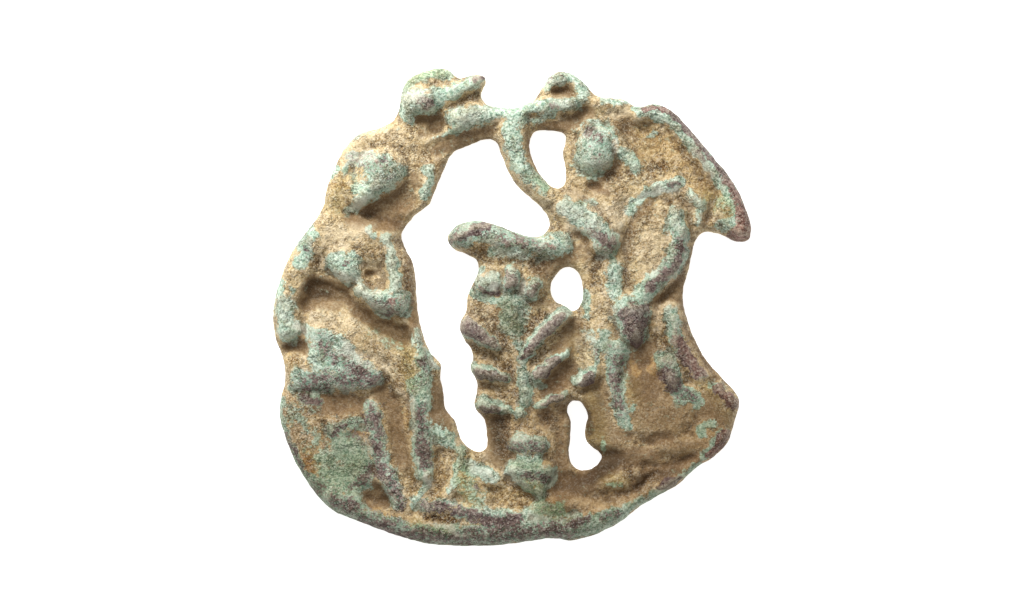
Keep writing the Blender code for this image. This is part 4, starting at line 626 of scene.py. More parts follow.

# Darker brown earth, and painted shade in hollows, under forms and on slopes turned away from the light.
BROWN_AND_SHADE = [
    # seated figure
    ([(-12.6, 8.8), (-10.2, 9.4)], (1.2, 1.9), (0.9, 0.95)),
    ([(-12.2, 7.7), (-10.6, 7.4)], 0.8, (1.2, 1)),
    ([(-6.6, 13.4), (-6.2, 12), (-7.2, 10)], 0.5, 0.8),
    ([(-17.6, 1.5), (-16.4, 1.6), (-15.2, 1)], (1.15, 0.7), (1.9, 1.4)),
    ([(-18.6, 0.3), (-17, 0.4), (-15.6, 0.2)], (0.8, 0.6), (1.2, 1)),
    ([(-17.6, 1.6), (-15.6, 1.4)], (1.3, 0.9), (2.4, 1.3)),
    ([(-13, 3.1), (-12.4, 3)], (0.4, 0.35), (1.9, 1.7)),
    ([(-18.9, -3.5), (-20.2, -3.6)], (0.9, 0.6), (2, 1.2)),
    ([(-9.4, 5.2), (-9.1, 2), (-8.7, -0.6)], (0.5, 0.4), (0.8, 0.9)),
    ([(-17.2, -8.7), (-13.6, -8.7)], (1, 0.8), (1.35, 1.2)),
    ([(-12, -7.6), (-10.8, -8.6), (-10.2, -11.4), (-9.8, -14)], 0.9, 1),
    ([(-14.6, -11.6), (-13.7, -11.2)], 0.5, 0.8),
    ([(-6.7, -7.4), (-6.5, -10.4)], (1, 1.1), 1.5),
    ([(-9, 0.4), (-8.8, -1.8), (-9.2, -2.7)], (0.4, 0.55), (0.9, 1.7)),
    ([(-14.4, 7.8), (-13.4, 7.4)], (0.7, 0.6), 1.2),
    ([(-10.3, 8.9), (-9.3, 8.9)], (0.8, 0.7), 0.8),
    ([(-11.2, -3), (-9.8, -3.3)], (0.6, 0.5), 1.1),
    ([(-15.2, 1), (-14.2, 0), (-12.6, -1.2), (-11.4, -1.9), (-9.6, -2.5)], (0.6, 1), (0.9, 1.4)),
    ([(-8.8, 11.8), (-8.6, 10.8)], 0.5, 0.9),
    ([(-14.4, 7.6), (-13.6, 7.3)], (0.55, 0.5), 0.9),
    ([(-18.5, 1), (-16.6, 1.3), (-15, 1.5)], (0.9, 0.6), (1.1, 0.9)),
    # lily and pot
    ([(-1.4, -10.6), (-1.2, -13.2)], 1.3, 1.6),
    ([(4.8, -9.4), (4.6, -13.6), (4.4, -17)], (1, 0.9), 0.9),
    ([(3, -9.6), (3.4, -10.4)], 0.9, 0.9),
    ([(5.4, -1.6), (5.3, -3.4), (4.1, -3.9)], 0.9, 1.3),
    ([(5, -5.8), (3.4, -7.2)], (1.2, 1.1), 1.3),
    ([(2.4, 3.2), (5.4, 4.6)], 0.9, 1),
    ([(2.4, 0.4), (3.4, 0.2)], (0.6, 0.5), 0.7),
    # angel
    ([(11, -4), (12.4, -3.6)], (1, 0.9), 0.9),
    ([(12.6, 0.8), (14.6, 1.2), (15.2, 2.2)], (0.6, 0.7), 0.9),
    ([(11, -4.4), (12.2, -7.4)], (1.4, 1.5), (1.4, 1.2)),
    ([(12.6, -9.2), (15.2, -9.8)], (2.9, 2.6), 0.6),
    ([(17.6, -8.8), (18.6, -10)], (1.5, 1.4), 0.8),
    ([(12.4, -11.9), (14.2, -11.6)], 0.6, (1, 0.9)),
    ([(7.4, -7.6), (7.6, -9.2), (8.4, -12.6)], 1.4, 1.1),
    ([(7.2, 11), (9.4, 12.6)], (0.7, 0.6), 1),
    ([(12.4, 9.6), (11.2, 7.8), (10.3, 4.8)], (0.6, 0.4), (0.8, 0.6)),
    ([(12.8, 8.2), (12.6, 6.8)], (1.4, 1.2), (0.35, 0.2)),
    ([(5.9, 6.6), (6.6, 5.8), (6.8, 4.4)], (0.4, 0.7), (0.9, 0.7)),
    ([(14.6, -0.8), (16.2, -3), (18.4, -6.4)], (0.4, 0.6), (0.6, 0.8)),
    ([(13, -13.4), (9, -13.6)], (0.9, 1.1), (0.6, 2)),
    ([(14, -12.4), (17.2, -12.3)], (0.7, 0.6), 0.6),
    ([(6.9, -9.4), (7, -11.4)], 0.5, (1.7, 1.8)),
    ([(7.4, 10.6), (8.4, 10.4)], (0.5, 0.4), (1.1, 1)),
    ([(7.6, -7.6), (8.2, -8.8)], (0.6, 0.5), 1.5),
    ([(14.9, 0.9), (15.3, 0)], 0.4, 1.3),
    ([(5.5, 5), (6, 5.4)], (0.5, 0.4), (1.1, 1)),
    ([(9.4, -11.4), (10.4, -11.6)], 0.6, 1),
    # wing
    ([(9.8, 16.2), (11.6, 15.4), (12, 13.6)], 1.5, (0.8, 0.6)),
    ([(16.6, 12.4), (17.6, 10.6)], 0.8, (0.3, 0.5)),
    ([(17.8, 8.8), (17.2, 7.6)], (0.5, 0.6), (0.4, 0.9)),
    # bird, bar, strap and ring
    ([(-8.2, 16.9), (-7, 16.5)], (0.8, 1), (1, 1.4)),
    ([(-6.4, 15.1), (-2.2, 15.7)], (0.6, 0.8), (0.9, 1)),
    ([(2.8, 16.1), (4.8, 16.2), (6.9, 17.5)], (0.5, 0.7), (1.4, 1.5)),
    ([(3.8, 19.35), (5.1, 19.5)], 0.4, 1),
    ([(1.2, 15.8), (1.6, 13.8), (2.8, 11.9)], (0.3, 0.4), 0.8),
    ([(-6.7, 14), (-5.4, 14.5), (-4.2, 14.9)], 0.55, (1.7, 1.5)),
    ([(-8.2, 15.7), (-7.2, 15.4)], (0.5, 0.4), (0.9, 0.8)),
    ([(3.9, 18.9), (5.2, 18.95)], 0.3, 0.9),
    # ground
    ([(-13.3, -17), (-12.4, -16.4), (-11.5, -17.3)], 0.9, (0.8, 1.4)),
    ([(4.4, -16.2), (6.4, -15.7), (8.9, -13.8)], 1.1, (1.5, 2.1)),
    ([(11.2, -16), (12.2, -14.8), (14.2, -14.2), (16.8, -13.5)], (0.8, 0.6), (1, 0.8)),
    ([(6, -16.8), (9.4, -17), (12.2, -15.6)], (1, 0.9), 0.5),
    ([(13.2, -14.9), (15, -14.7)], (0.65, 0.55), (1.6, 1.5)),
    ([(4.3, -16.9), (5, -17.2)], (0.5, 0.4), (1, 0.8)),
    ([(-13.2, -17.8), (-11.8, -17.9)], (0.5, 0.4), (1.3, 1.1)),
]

# Broad, thinner soiling that darkens everything under it, and painted shade on the lower sides of forms,
# under them and in hollows.
GRIME_AND_SHADE = [
    # seated figure
    ([(-15.6, -9.6), (-14.8, -13.4)], 3.6, (0.8, 1.2)),
    ([(-9, -9.6), (-12, -12)], 3, 0.5),
    ([(-10.6, -8.6), (-8.4, -13)], (2.6, 3), 0.6),
    ([(-13.6, 8.2), (-10.6, 7.4)], (1.4, 1.2), 0.7),
    ([(-12.8, -0.4), (-10, -0.9)], (0.45, 0.6), (0.3, 0.8)),
    ([(-10.4, 11.2), (-9.6, 11.8)], 0.7, (0.2, 0.4)),
    ([(-17, 1.2), (-16.2, 1.2)], (0.7, 0.6), (0.6, 0.5)),
    ([(-12.9, -8.2), (-12.5, -9.4)], (0.7, 0.6), (0.6, 0.4)),
    ([(-19.2, -7.9), (-17.4, -8.3)], (0.6, 0.55), 1.4),
    ([(-20.3, -11.4), (-18.9, -14.6), (-16.8, -17.2)], 0.7, (0.9, 1.1)),
    ([(-9, -0.6), (-8.6, -2)], 0.6, (0.7, 0.9)),
    ([(-8, -9.6), (-7.9, -14)], 0.8, (0.8, 0.9)),
    ([(-10.4, 9), (-9.4, 8.6)], (0.8, 0.7), (1, 1.1)),
    ([(-14.3, 7.7), (-13.4, 7.4)], (0.7, 0.6), (0.8, 0.9)),
    ([(-13.4, -2.4), (-12.4, -2.8)], 0.7, 0.8),
    ([(-11.4, 7.6), (-10.4, 7.3)], (0.7, 0.6), 0.9),
    ([(-18, 1), (-16.6, 1.2)], (0.9, 0.7), 0.5),
    # pointing arm
    ([(-4.4, 5.1), (0, 4.3), (4, 4.4)], (0.7, 0.8), (0.3, 0.4)),
    # lily and pot
    ([(2.4, -10.6), (3.2, -15), (6.2, -16)], 3.6, (0.6, 0.8)),
    ([(-1.6, -3.8), (-1.4, -9.4), (3.6, -8.4)], (2.8, 3.4), (0.45, 0.6)),
    ([(-0.6, -0.2), (0.4, -1.8)], (1.5, 1.2), 1.6),
    ([(5, -5.9), (3.3, -7.1)], (1.1, 0.8), (1, 1.1)),
    ([(4.5, -7.1), (5.3, -7.4)], (0.6, 0.5), (1.2, 1)),
    ([(-5.4, -12), (-4.5, -12.3)], (0.6, 0.5), 1),
    ([(-6.1, -9.6), (-5.3, -10.2)], 0.5, 0.8),
    # angel
    ([(12.4, -6), (13.8, -10.4)], (4.6, 5), (0.9, 0.75)),
    ([(17.6, -8.6), (17.6, -10.4)], 3.4, (0.7, 0.8)),
    ([(15.4, 4), (12.8, 0.4), (15.6, -3.4)], (2.2, 2.6), (0.4, 0.6)),
    ([(7.8, 6), (9.2, 5.1)], 0.9, (0.4, 1.2)),
    ([(10.8, -2), (10.8, -2.8)], (0.7, 0.5), (0.7, 0.8)),
    ([(6, 10.4), (9.4, 10.6)], (1.2, 1), (0.7, 0.5)),
    ([(7.4, 12.6), (9, 12.8)], (1.2, 0.9), 0.4),
    ([(8.6, -2.6), (9.4, -4.4)], (1, 0.9), (0.7, 0.6)),
    ([(7, 12.2), (7.6, 11.9)], (0.8, 0.6), (0.2, 0.4)),
    ([(8.2, 6.4), (8.8, 5.6)], 0.6, (0.5, 0.6)),
    ([(7.5, 10.6), (8.4, 10.4)], (0.6, 0.5), 1),
    ([(7.2, -9.2), (7.4, -10.8)], 0.7, 1.1),
    ([(16.9, -4.2), (17.7, -5.6)], 0.5, (0.9, 1)),
    # wing
    ([(13, 15.2), (17.4, 11)], (1.6, 1.4), (0.3, 0.4)),
    # bird, bar, strap and ring
    ([(-4.6, 15.8), (-2.6, 16.4)], (0.5, 0.45), (0.8, 0.7)),
    ([(-9.4, 20.2), (-8.4, 20.6)], 0.6, 0.6),
    ([(3.8, 16), (5.2, 16.1)], 0.5, 0.9),
    ([(-9.9, 19.4), (-9, 19.6)], 0.5, 0.6),
    # ground
    ([(-19.8, -10), (-17.4, -15.8), (-10, -20.2), (0, -20.8), (8, -19.4)], (2.8, 2.6), (0.6, 0.9)),
    ([(6, -17), (12, -14.8), (17.4, -12.4)], (4.6, 4), (0.8, 0.9)),
    ([(2.8, -17.7), (4.4, -18)], 1, (1.5, 1.6)),
    ([(10.4, -17.8), (13.2, -16.4), (16.8, -13.9)], (0.8, 0.7), 1),
    ([(2.2, -16), (2.6, -16.5)], (0.7, 0.5), 0.9),
    ([(-13.2, -18), (-12.2, -18.2)], (0.6, 0.5), 1),
    ([(-16.4, -17.8), (-14.4, -18.8)], 0.7, 0.9),
]

# Places tinted olive.
OLIVE = [
    # seated figure
    ([(-8.4, -4.4), (-8.2, -7.4)], 0.8, 0.5),
    ([(-18, -13.8), (-15.6, -15.8), (-13.4, -14.4)], (1.8, 1.6), (0.5, 0.4)),
    ([(-15.8, 9.4), (-14.6, 11.4)], (1.6, 1.4), (0.5, 0.4)),
    ([(-9.6, -3.4), (-9, -7)], (0.9, 0.8), (0.7, 0.8)),
    ([(-13, -2.2), (-10.6, -3)], (0.9, 0.7), 0.5),
    # lily and pot
    ([(0.4, -14.2), (3, -14.3)], 0.5, 0.6),
    ([(-4.4, -12.8), (-4.4, -16.4)], (0.7, 0.9), 0.8),
    # angel
    ([(7.2, -7.6), (7.4, -10.4), (8.2, -12.4)], (1.1, 1), 0.6),
    ([(5.8, -3.2), (6.8, -4.8)], (1.1, 1), 0.6),
    ([(10.8, -6.8), (11, -8)], (0.9, 0.8), 0.6),
    ([(17.4, -7), (19.6, -10)], 0.9, 0.4),
    ([(7.2, -8.4), (7.6, -11.8)], 1.2, (0.7, 0.8)),
    # wing
    ([(18, 9.6), (19.4, 8.8)], (1.2, 1), 0.8),
    # bird, bar, strap and ring
    ([(-9.4, 20.2), (-7.6, 21), (-5.8, 21.1)], (0.8, 0.7), 0.8),
    ([(2, 11.4), (3, 10.6)], 0.6, (0.6, 0.8)),
    # ground
    ([(8.2, -15.4), (10.2, -15.7)], (0.9, 0.8), 0.9),
    ([(1.4, -16), (2.8, -16.4)], (1, 0.8), 0.8),
    ([(-4.2, -15.6), (-3.6, -17.2)], (1.4, 1.2), 0.6),
    ([(-8.6, -19.4), (-5.4, -19.9)], 0.7, 0.9),
    ([(2.4, -18), (4.2, -18.2)], (0.9, 0.8), 0.8),
]

# Scraped and bleached places, and painted highlights on tops and slopes that face the light, paler than
# what lies around them.
PALE_AND_HIGHLIGHT = [
    # seated figure
    ([(-13.3, -11.8), (-12.9, -12.1)], (0.3, 0.25), (1.3, 1.2)),
    ([(-12.8, -12.5), (-12.6, -12.7)], 0.15, 1),
    ([(-14.6, 13.3), (-12.6, 13.8)], (0.9, 0.8), 0.5),
    ([(-14.4, 15), (-12.4, 15.7), (-10.2, 15.4)], (0.9, 0.8), (0.45, 0.4)),
    ([(-16.2, 6.6), (-14, 6.7), (-13.2, 7)], (1.1, 0.8), (0.65, 0.55)),
    ([(-17.6, -1.2), (-15.8, -1.2), (-13.8, -2.1)], (0.9, 0.8), (0.45, 0.35)),
    ([(-13.8, 1.9), (-12.2, 1.7)], 0.4, (0.5, 0.4)),
    ([(-20.4, 0.8), (-20.2, -1)], (0.7, 0.6), 0.35),
    ([(-8.9, -8), (-8.8, -12)], (0.25, 0.2), (0.6, 0.5)),
    ([(-15.2, -4), (-13.6, -4.9), (-12.4, -5.4)], (0.45, 0.3), (0.6, 0.5)),
    ([(-7.2, -4.9), (-6.9, -5.3)], 0.3, 0.8),
    ([(-12.8, -4.2), (-11.4, -5.2)], (0.6, 0.7), (0.6, 1.1)),
    ([(-17, 4.5), (-16.9, 3.6)], 0.35, 0.7),
    ([(-12.3, 2.4), (-11.5, 2.5)], 0.5, (0.5, 0.7)),
    ([(-12, 11.1), (-10.8, 11.5)], (0.7, 0.6), (0.45, 0.35)),
    ([(-7.6, -15.4), (-7.3, -16.1)], 0.45, 1.1),
    ([(-19.3, -1.8), (-18.6, -2.1)], (0.5, 0.45), 1),
    ([(-14, 8.9), (-13.3, 9.4)], (0.5, 0.45), (1.1, 0.9)),
    ([(-13.2, 3.8), (-11.8, 3.7)], 0.4, (0.6, 0.8)),
    ([(-16.2, 3.1), (-14.5, 2.4), (-13.6, 2.6)], (0.4, 0.35), 0.7),
    ([(-16.2, 5.5), (-15, 5.4)], 0.5, 0.6),
    ([(-17.4, 4.9), (-17.3, 4)], 0.35, 0.6),
    ([(-15.8, -7.3), (-14.2, -7.4)], (0.5, 0.4), (0.5, 0.6)),
    ([(-12.2, 0.1), (-11.4, -0.1)], 0.5, 0.45),
    ([(-14.8, -3.6), (-13.6, -4.4)], 0.5, 0.9),
    ([(-18, 5.9), (-17.8, 5.2)], 0.4, 0.7),
    ([(-9.5, -7.6), (-9.3, -8.8)], 0.35, 0.9),
    ([(-12.2, 3.6), (-11.7, 2.6), (-11.9, 1.6)], 0.4, 0.7),
    ([(-14.2, 9), (-13.4, 9.1)], (0.45, 0.4), 0.7),
    # pointing arm
    ([(-1.2, 4.9), (0.9, 4.5)], 0.5, (0.6, 0.8)),
    ([(-2.2, 5.8), (-1.4, 5.6)], 0.4, 0.6),
    # lily and pot
    ([(-3.7, -14.3), (-2.8, -14.7), (-1.9, -15.1)], (0.6, 0.4), 0.6),
    ([(-0.1, -14.9), (1.2, -16.1)], (0.35, 0.3), 0.6),
    ([(4, -14.9), (3.5, -15.9)], (0.35, 0.3), 0.6),
    ([(-3, 2.8), (-1.6, 2.9)], 0.7, 0.4),
    ([(-2.6, -0.6), (-1, -2.4)], (0.8, 0.6), 0.35),
    ([(0.6, -11.7), (2.4, -11.8)], (0.4, 0.3), 0.4),
    ([(-1.9, 1.9), (-1.4, 1.9)], 0.42, 1.1),
    ([(0.9, 2), (0.9, 1.4)], 0.4, 1.2),
    ([(-3.7, -0.4), (-3.2, -0.8)], 0.4, 0.7),
    ([(-0.6, -15), (0.3, -15.8)], 0.4, 0.7),
    ([(-3.7, -0.5), (-3.1, -0.9)], 0.4, 0.7),
    # angel
    ([(4.2, 8.9), (6.4, 8.2), (7.6, 7.4)], (0.9, 0.6), (0.5, 0.4)),
    ([(13.8, -4.7), (14.4, -4.8)], (0.5, 0.4), 0.5),
    ([(6.4, -3), (6.6, -5)], 0.8, 0.5),
    ([(7, -3), (7.2, -4.2)], (0.8, 0.7), (0.5, 0.4)),
    ([(12.6, 6.2), (12.4, 3.4)], (1.3, 1.1), 0.4),
    ([(10, -0.2), (11.8, -0.2)], (0.7, 0.5), 0.3),
    ([(8.2, 8.8), (9.2, 7.8), (9.5, 6.7)], (0.8, 0.5), (0.7, 0.6)),
    ([(14.6, 10.4), (12.8, 10.3), (11.6, 9.9)], (0.45, 0.4), (1, 0.8)),
    ([(7.6, 12.9), (8.3, 12.8)], (0.7, 0.6), (0.45, 0.4)),
    ([(9.3, 14.6), (9.2, 13.9)], 0.4, 1.1),
    ([(12.9, -0.1), (13.3, -1.8)], 0.45, (0.9, 0.8)),
    ([(5, 7.4), (5.6, 7)], (0.5, 0.4), (1, 0.9)),
    ([(9.8, 9.2), (9.8, 7.4), (9.7, 6.7)], (0.5, 0.35), (0.7, 0.8)),
    ([(7, 6.9), (7.6, 6.3)], (0.5, 0.4), 0.5),
    ([(10.2, 5.3), (10.3, 4.8)], 0.35, 0.7),
    ([(7.8, 4.5), (8.4, 4.4)], (0.45, 0.4), (0.9, 0.8)),
    ([(15.9, 9.3), (16.1, 8.7)], 0.4, 0.8),
    ([(5.6, 10.1), (6.8, 9.9)], (0.7, 0.6), (0.8, 0.7)),
    ([(8.8, 0.2), (8.9, -0.6)], 0.4, 0.7),
    ([(10.2, 9.6), (9.6, 8.8), (9.2, 7.2)], 0.5, 0.6),
    ([(9.3, 14.2), (9.1, 13.5)], 0.4, 0.7),
    ([(5, 7), (5.9, 6.8)], 0.4, 0.7),
    ([(9.7, 6.7), (9.9, 6)], 0.4, 0.6),
    ([(9.4, 7.6), (9.2, 6.9)], 0.45, 0.6),
    # wing
    ([(12.9, 13.4), (13, 13.1)], 0.15, 1),
    ([(16.3, 14), (17.8, 11.6)], 0.4, (0.7, 0.95)),
    ([(17.6, 9.3), (17.7, 8.7)], 0.4, (0.7, 0.6)),
    # bird, bar, strap and ring
    ([(-5, 17.5), (-2.6, 17.7)], (0.6, 0.4), 0.4),
    ([(-9.3, 19.1), (-7.8, 19.2)], (0.8, 0.5), (0.5, 0.4)),
    ([(-8.6, 20), (-7.2, 20.3), (-5.8, 20.2)], (0.4, 0.5), (0.15, 0.4)),
    ([(3.8, 18.2), (5.2, 18.2)], 0.4, 0.4),
    ([(-8.8, 18.7), (-8, 18.6)], (0.7, 0.55), (0.9, 0.8)),
    ([(-4.4, 16.7), (-3.2, 17)], (0.6, 0.5), (0.6, 0.5)),
    ([(3.7, 20.2), (4.4, 20.1)], (0.35, 0.3), 0.5),
    ([(3, 9.3), (3.4, 8.7)], 0.5, 0.8),
    ([(9, 17.4), (10.2, 17.4)], 0.5, 0.7),
    # ground
    ([(-7.8, -19.2), (-5.6, -19.7), (-4.2, -20.5)], (0.3, 0.22), 0.8),
    ([(1.5, -18.7), (2.9, -19)], 0.4, 0.6),
    ([(5.6, -17.6), (8, -17.9)], (0.7, 0.6), 0.35),
    ([(5.2, -18.5), (5.9, -18.5)], (0.35, 0.3), 0.5),
]

# Worn edges where the copper shows redder.
RED = [
    # seated figure
    ([(-12.8, 13.6), (-12.4, 13.4)], 0.6, 0.7),
    ([(-10.8, 0.8), (-10.2, 0.4)], 0.6, 0.7),
    # pointing arm
    ([(3.4, 5.5), (3.8, 5.4)], 0.5, 0.7),
    # angel
    ([(18.4, -7.3), (20.3, -8.8)], (0.8, 0.7), 1),
    ([(19.2, -11.4), (17.6, -13.6)], 0.7, 1),
    ([(15, -3), (16.6, -5.8)], 0.8, (0.5, 0.7)),
    # wing
    ([(19.4, 11.2), (20.6, 9), (20.8, 6.8)], (0.8, 1.8), (0.6, 1.2)),
    ([(11.9, 17.8), (14, 17.8)], 0.6, 0.6),
]

# Places where the crust is coarse and pitted.
COARSE = [
    # seated figure
    ([(-10.4, 14.6), (-7.8, 13.2)], (1.1, 1.4), 0.4),
    ([(-16.4, 9.6), (-15.6, 11.2)], 0.9, 0.3),
    ([(-12.2, 11), (-10.6, 12)], 1, (0.6, 0.7)),
    ([(-17.7, 5.6), (-17.8, 3.6)], (0.4, 0.5), 0.7),
    ([(-13.2, 5.2), (-11.8, 4.6)], (1, 0.8), 0.55),
    ([(-9.4, 5.6), (-9.2, 1)], (0.8, 0.6), 0.8),
    ([(-12.4, -3), (-11.2, -5.2), (-10.2, -7.2)], (0.9, 1.1), (0.3, 0.6)),
    ([(-19.8, -8.6), (-18.6, -12.4)], 1.2, 0.5),
    ([(-6.2, -13.4), (-6.4, -16.4)], 0.7, 0.25),
    ([(-19.4, -9), (-17.4, -9.4)], (0.8, 0.7), 0.7),
    # pointing arm
    ([(2.2, 3.6), (2.6, 4.4)], 1.2, 0.8),
    ([(-1.6, 5.6), (2.6, 4.9)], (0.7, 0.6), 0.55),
    ([(-4, 5.2), (-2.4, 5.4)], 0.5, 0.8),
    ([(-2.8, 4.4), (1.4, 4.4)], 0.6, (0.7, 0.8)),
    # lily and pot
    ([(-3.2, -0.4), (-1, -2.4), (-0.4, -3.6)], (1, 0.7), 0.75),
    ([(0.2, -0.2), (0.3, -2), (0.9, -5.4)], (1.2, 0.4), (0.6, 0.5)),
    ([(-1.2, -4.6), (0, -6)], (0.8, 0.6), 0.7),
    ([(1.8, -4.6), (2.6, -5)], (0.5, 0.4), 0.6),
    ([(-1, -7.6), (0.8, -8.2)], (0.7, 0.8), (0.6, 0.5)),
    ([(2.6, -0.8), (1.4, -2.2)], (0.7, 0.5), 0.75),
    ([(-0.8, -10), (-0.8, -13)], 0.9, 1),
    ([(3.2, -9.6), (3.8, -10.6)], 0.7, 0.7),
    # angel
    ([(12.4, 8.8), (11, 6.6), (10.5, 4.6)], (0.55, 0.6), 0.8),
    ([(8.6, 11.6), (12.6, 11.6)], (0.8, 0.6), 0.7),
    ([(6.4, -1.8), (6.2, -4.6)], 0.6, (0.6, 0.5)),
    ([(7.6, 4.4), (7.4, 2.2)], (0.9, 0.8), 0.7),
    ([(13.5, -0.4), (13.4, -4)], (0.7, 0.8), (0.4, 0.7)),
    # wing
    ([(9.8, 16.2), (12, 15.2)], 1.3, 0.6),
    ([(12.6, 12.8), (13.6, 12.4)], (0.7, 0.6), 1),
    ([(16.2, 13.6), (17.2, 11.2)], (1.2, 1), (0.35, 0.4)),
    ([(12.4, 12.6), (13.4, 12.6)], 0.7, 1),
    # ground
    ([(10.6, -14.6), (12.6, -15.2), (11.6, -16.4)], (1.1, 0.9), 0.5),
    ([(-1.6, -16.4), (1, -17.4)], (0.9, 0.8), 0.25),
    ([(-7.6, -18.8), (-5, -19.2)], 0.5, 1),
]


# Small numeric tools.


def smooth_path(points, closed=False, step=0.25):
    """Points of a centripetal Catmull-Rom curve through the given points."""
    points = np.array(points, dtype=float)
    if closed:
        points = np.vstack([points[-1:], points, points[:2]])
    else:
        points = np.vstack([2 * points[:1] - points[1:2], points, 2 * points[-1:] - points[-2:-1]])
    curve = []
    for p0, p1, p2, p3 in zip(points, points[1:], points[2:], points[3:]):
        t1 = math.sqrt(np.linalg.norm(p1 - p0))
        t2 = t1 + math.sqrt(np.linalg.norm(p2 - p1))
        t3 = t2 + math.sqrt(np.linalg.norm(p3 - p2))
        count = max(2, round(np.linalg.norm(p2 - p1) / step))
        t = np.linspace(t1, t2, count, endpoint=False)[:, None]
        a1 = (t1 - t) / t1 * p0 + t / t1 * p1
        a2 = (t2 - t) / (t2 - t1) * p1 + (t - t1) / (t2 - t1) * p2
        a3 = (t3 - t) / (t3 - t2) * p2 + (t - t2) / (t3 - t2) * p3
        b1 = (t2 - t) / t2 * a1 + t / t2 * a2
        b2 = (t3 - t) / (t3 - t1) * a2 + (t - t1) / (t3 - t1) * a3
        curve.append((t2 - t) / (t2 - t1) * b1 + (t - t1) / (t2 - t1) * b2)
    if not closed:
        curve.append(points[-2:-1])
    return np.vstack(curve)


def evenly_spaced(loop, step):
    """Points spaced evenly along a closed loop, as near to the given step as fits."""
    ends = np.vstack([loop, loop[:1]])
    along = np.concatenate([[0.0], np.cumsum(np.linalg.norm(np.diff(ends, axis=0), axis=1))])
    wanted = np.linspace(0.0, along[-1], round(along[-1] / step), endpoint=False)
    return np.column_stack([np.interp(wanted, along, ends[:, axis]) for axis in (0, 1)])


def distance_to_path(x, y, path):
    """Distance of each spot to a path, and how far along the path its nearest point lies, 0 to 1."""
    runs = np.diff(path, axis=0)
    lengths = np.linalg.norm(runs, axis=1)
    along = np.concatenate([[0.0], np.cumsum(lengths)])
    nearest = np.full(x.shape, np.inf)
    place = np.zeros(x.shape)
    for (sx, sy), (rx, ry), length, before in zip(path, runs, lengths, along):
        share = np.clip(((x - sx) * rx + (y - sy) * ry) / length**2, 0.0, 1.0)
        distance = np.hypot(x - sx - share * rx, y - sy - share * ry)
        closer = distance < nearest
        nearest[closer] = distance[closer]
        place[closer] = (before + share[closer] * length) / along[-1]
    return nearest, place


def inside_loop(x, y, loop):
    """Whether each spot lies inside a closed loop, by counting crossings to its right."""
    odd = np.zeros(x.shape, dtype=bool)
    for (x1, y1), (x2, y2) in zip(loop, np.roll(loop, -1, axis=0)):
        if y1 != y2:
            spans = (y1 > y) != (y2 > y)
            odd ^= spans & (x < x1 + (y - y1) * (x2 - x1) / (y2 - y1))
    return odd


def gradient_noise(x, y, seed):
    """Smooth noise with a grain of 1, from about -1 to 1."""
    turns = np.random.default_rng(seed).uniform(0.0, 2.0 * np.pi, (NOISE_PERIOD, NOISE_PERIOD))
    column, row = np.floor(x).astype(int), np.floor(y).astype(int)
    fx, fy = x - column, y - row

    def corner(right, up):
        turn = turns[(column + right) % NOISE_PERIOD, (row + up) % NOISE_PERIOD]
        return np.cos(turn) * (fx - right) + np.sin(turn) * (fy - up)

    u = fx**3 * (fx * (fx * 6.0 - 15.0) + 10.0)
    v = fy**3 * (fy * (fy * 6.0 - 15.0) + 10.0)
    low = corner(0, 0) * (1.0 - u) + corner(1, 0) * u
    high = corner(0, 1) * (1.0 - u) + corner(1, 1) * u
    return 1.5 * (low * (1.0 - v) + high * v)


def fractal_noise(x, y, grain, octaves, seed):
    """Noise whose largest grain has the given size, each octave half as large and as strong."""
    total = np.zeros(x.shape)
    for octave in range(octaves):
        scale = 2.0**octave / grain
        layer = gradient_noise(x * scale + 7.3 * octave, y * scale + 3.1 * octave, seed + octave)
        total += layer / 2.0**octave
    return total


def blurred(sheet, radius):
    """A raster blurred with a Gaussian of the given radius in mm."""
    rows = np.fft.fftfreq(sheet.shape[0], RASTER)[:, None]
    columns = np.fft.rfftfreq(sheet.shape[1], RASTER)[None, :]
    falloff = np.exp(-2.0 * (np.pi * radius) ** 2 * (rows**2 + columns**2))
    return np.fft.irfft2(np.fft.rfft2(sheet) * falloff, s=sheet.shape)


def smoothstep(low, high, value):
    """0 below low, 1 above high, and a smooth rise between them."""
    share = np.clip((value - low) / (high - low), 0.0, 1.0)
    return share * share * (3.0 - 2.0 * share)


ticks = np.arange(-RASTER_REACH, RASTER_REACH + RASTER / 2, RASTER)
RX, RY = np.meshgrid(ticks, ticks)


def raster_window(path, margin):
    """The part of the raster that lies within a margin of a path."""
    low = np.clip(((path.min(axis=0) - margin + RASTER_REACH) / RASTER).astype(int), 0, None)
    high = ((path.max(axis=0) + margin + RASTER_REACH) / RASTER).astype(int) + 1
    return (slice(low[1], high[1]), slice(low[0], high[0]))


def first_and_last(value):
    """A stroke's value at its start and at its end."""
    return value if isinstance(value, tuple) else (value, value)


def painted(strokes, power, places, softness=8.0, spread=1.0, foot=0.0, flatness=2.0):
    """A raster holding the highest of the strokes at each spot, blended softly where they meet."""
    x, y = places
    total = np.zeros(RX.shape)
    for points, widths, amounts in strokes:
        path = smooth_path(points)
        width_start, width_end = first_and_last(widths)
        amount_start, amount_end = first_and_last(amounts)
        reach = max(width_start, width_end) * spread * (2.0 if foot else 1.0)
        window = raster_window(path, reach + STRAY)
        distance, place = distance_to_path(x[window], y[window], path)
        width = spread * (width_start + (width_end - width_start) * place)
        amount = amount_start + (amount_end - amount_start) * place
        out = distance / width
        dome = (1.0 - foot) * np.clip(1.0 - out**flatness, 0.0, None) ** power
        if foot:
            dome += foot * np.exp(-FOOT_FALL * out**2)
        total[window] = (total[window] ** softness + (amount * dome) ** softness) ** (1.0 / softness)
    return total


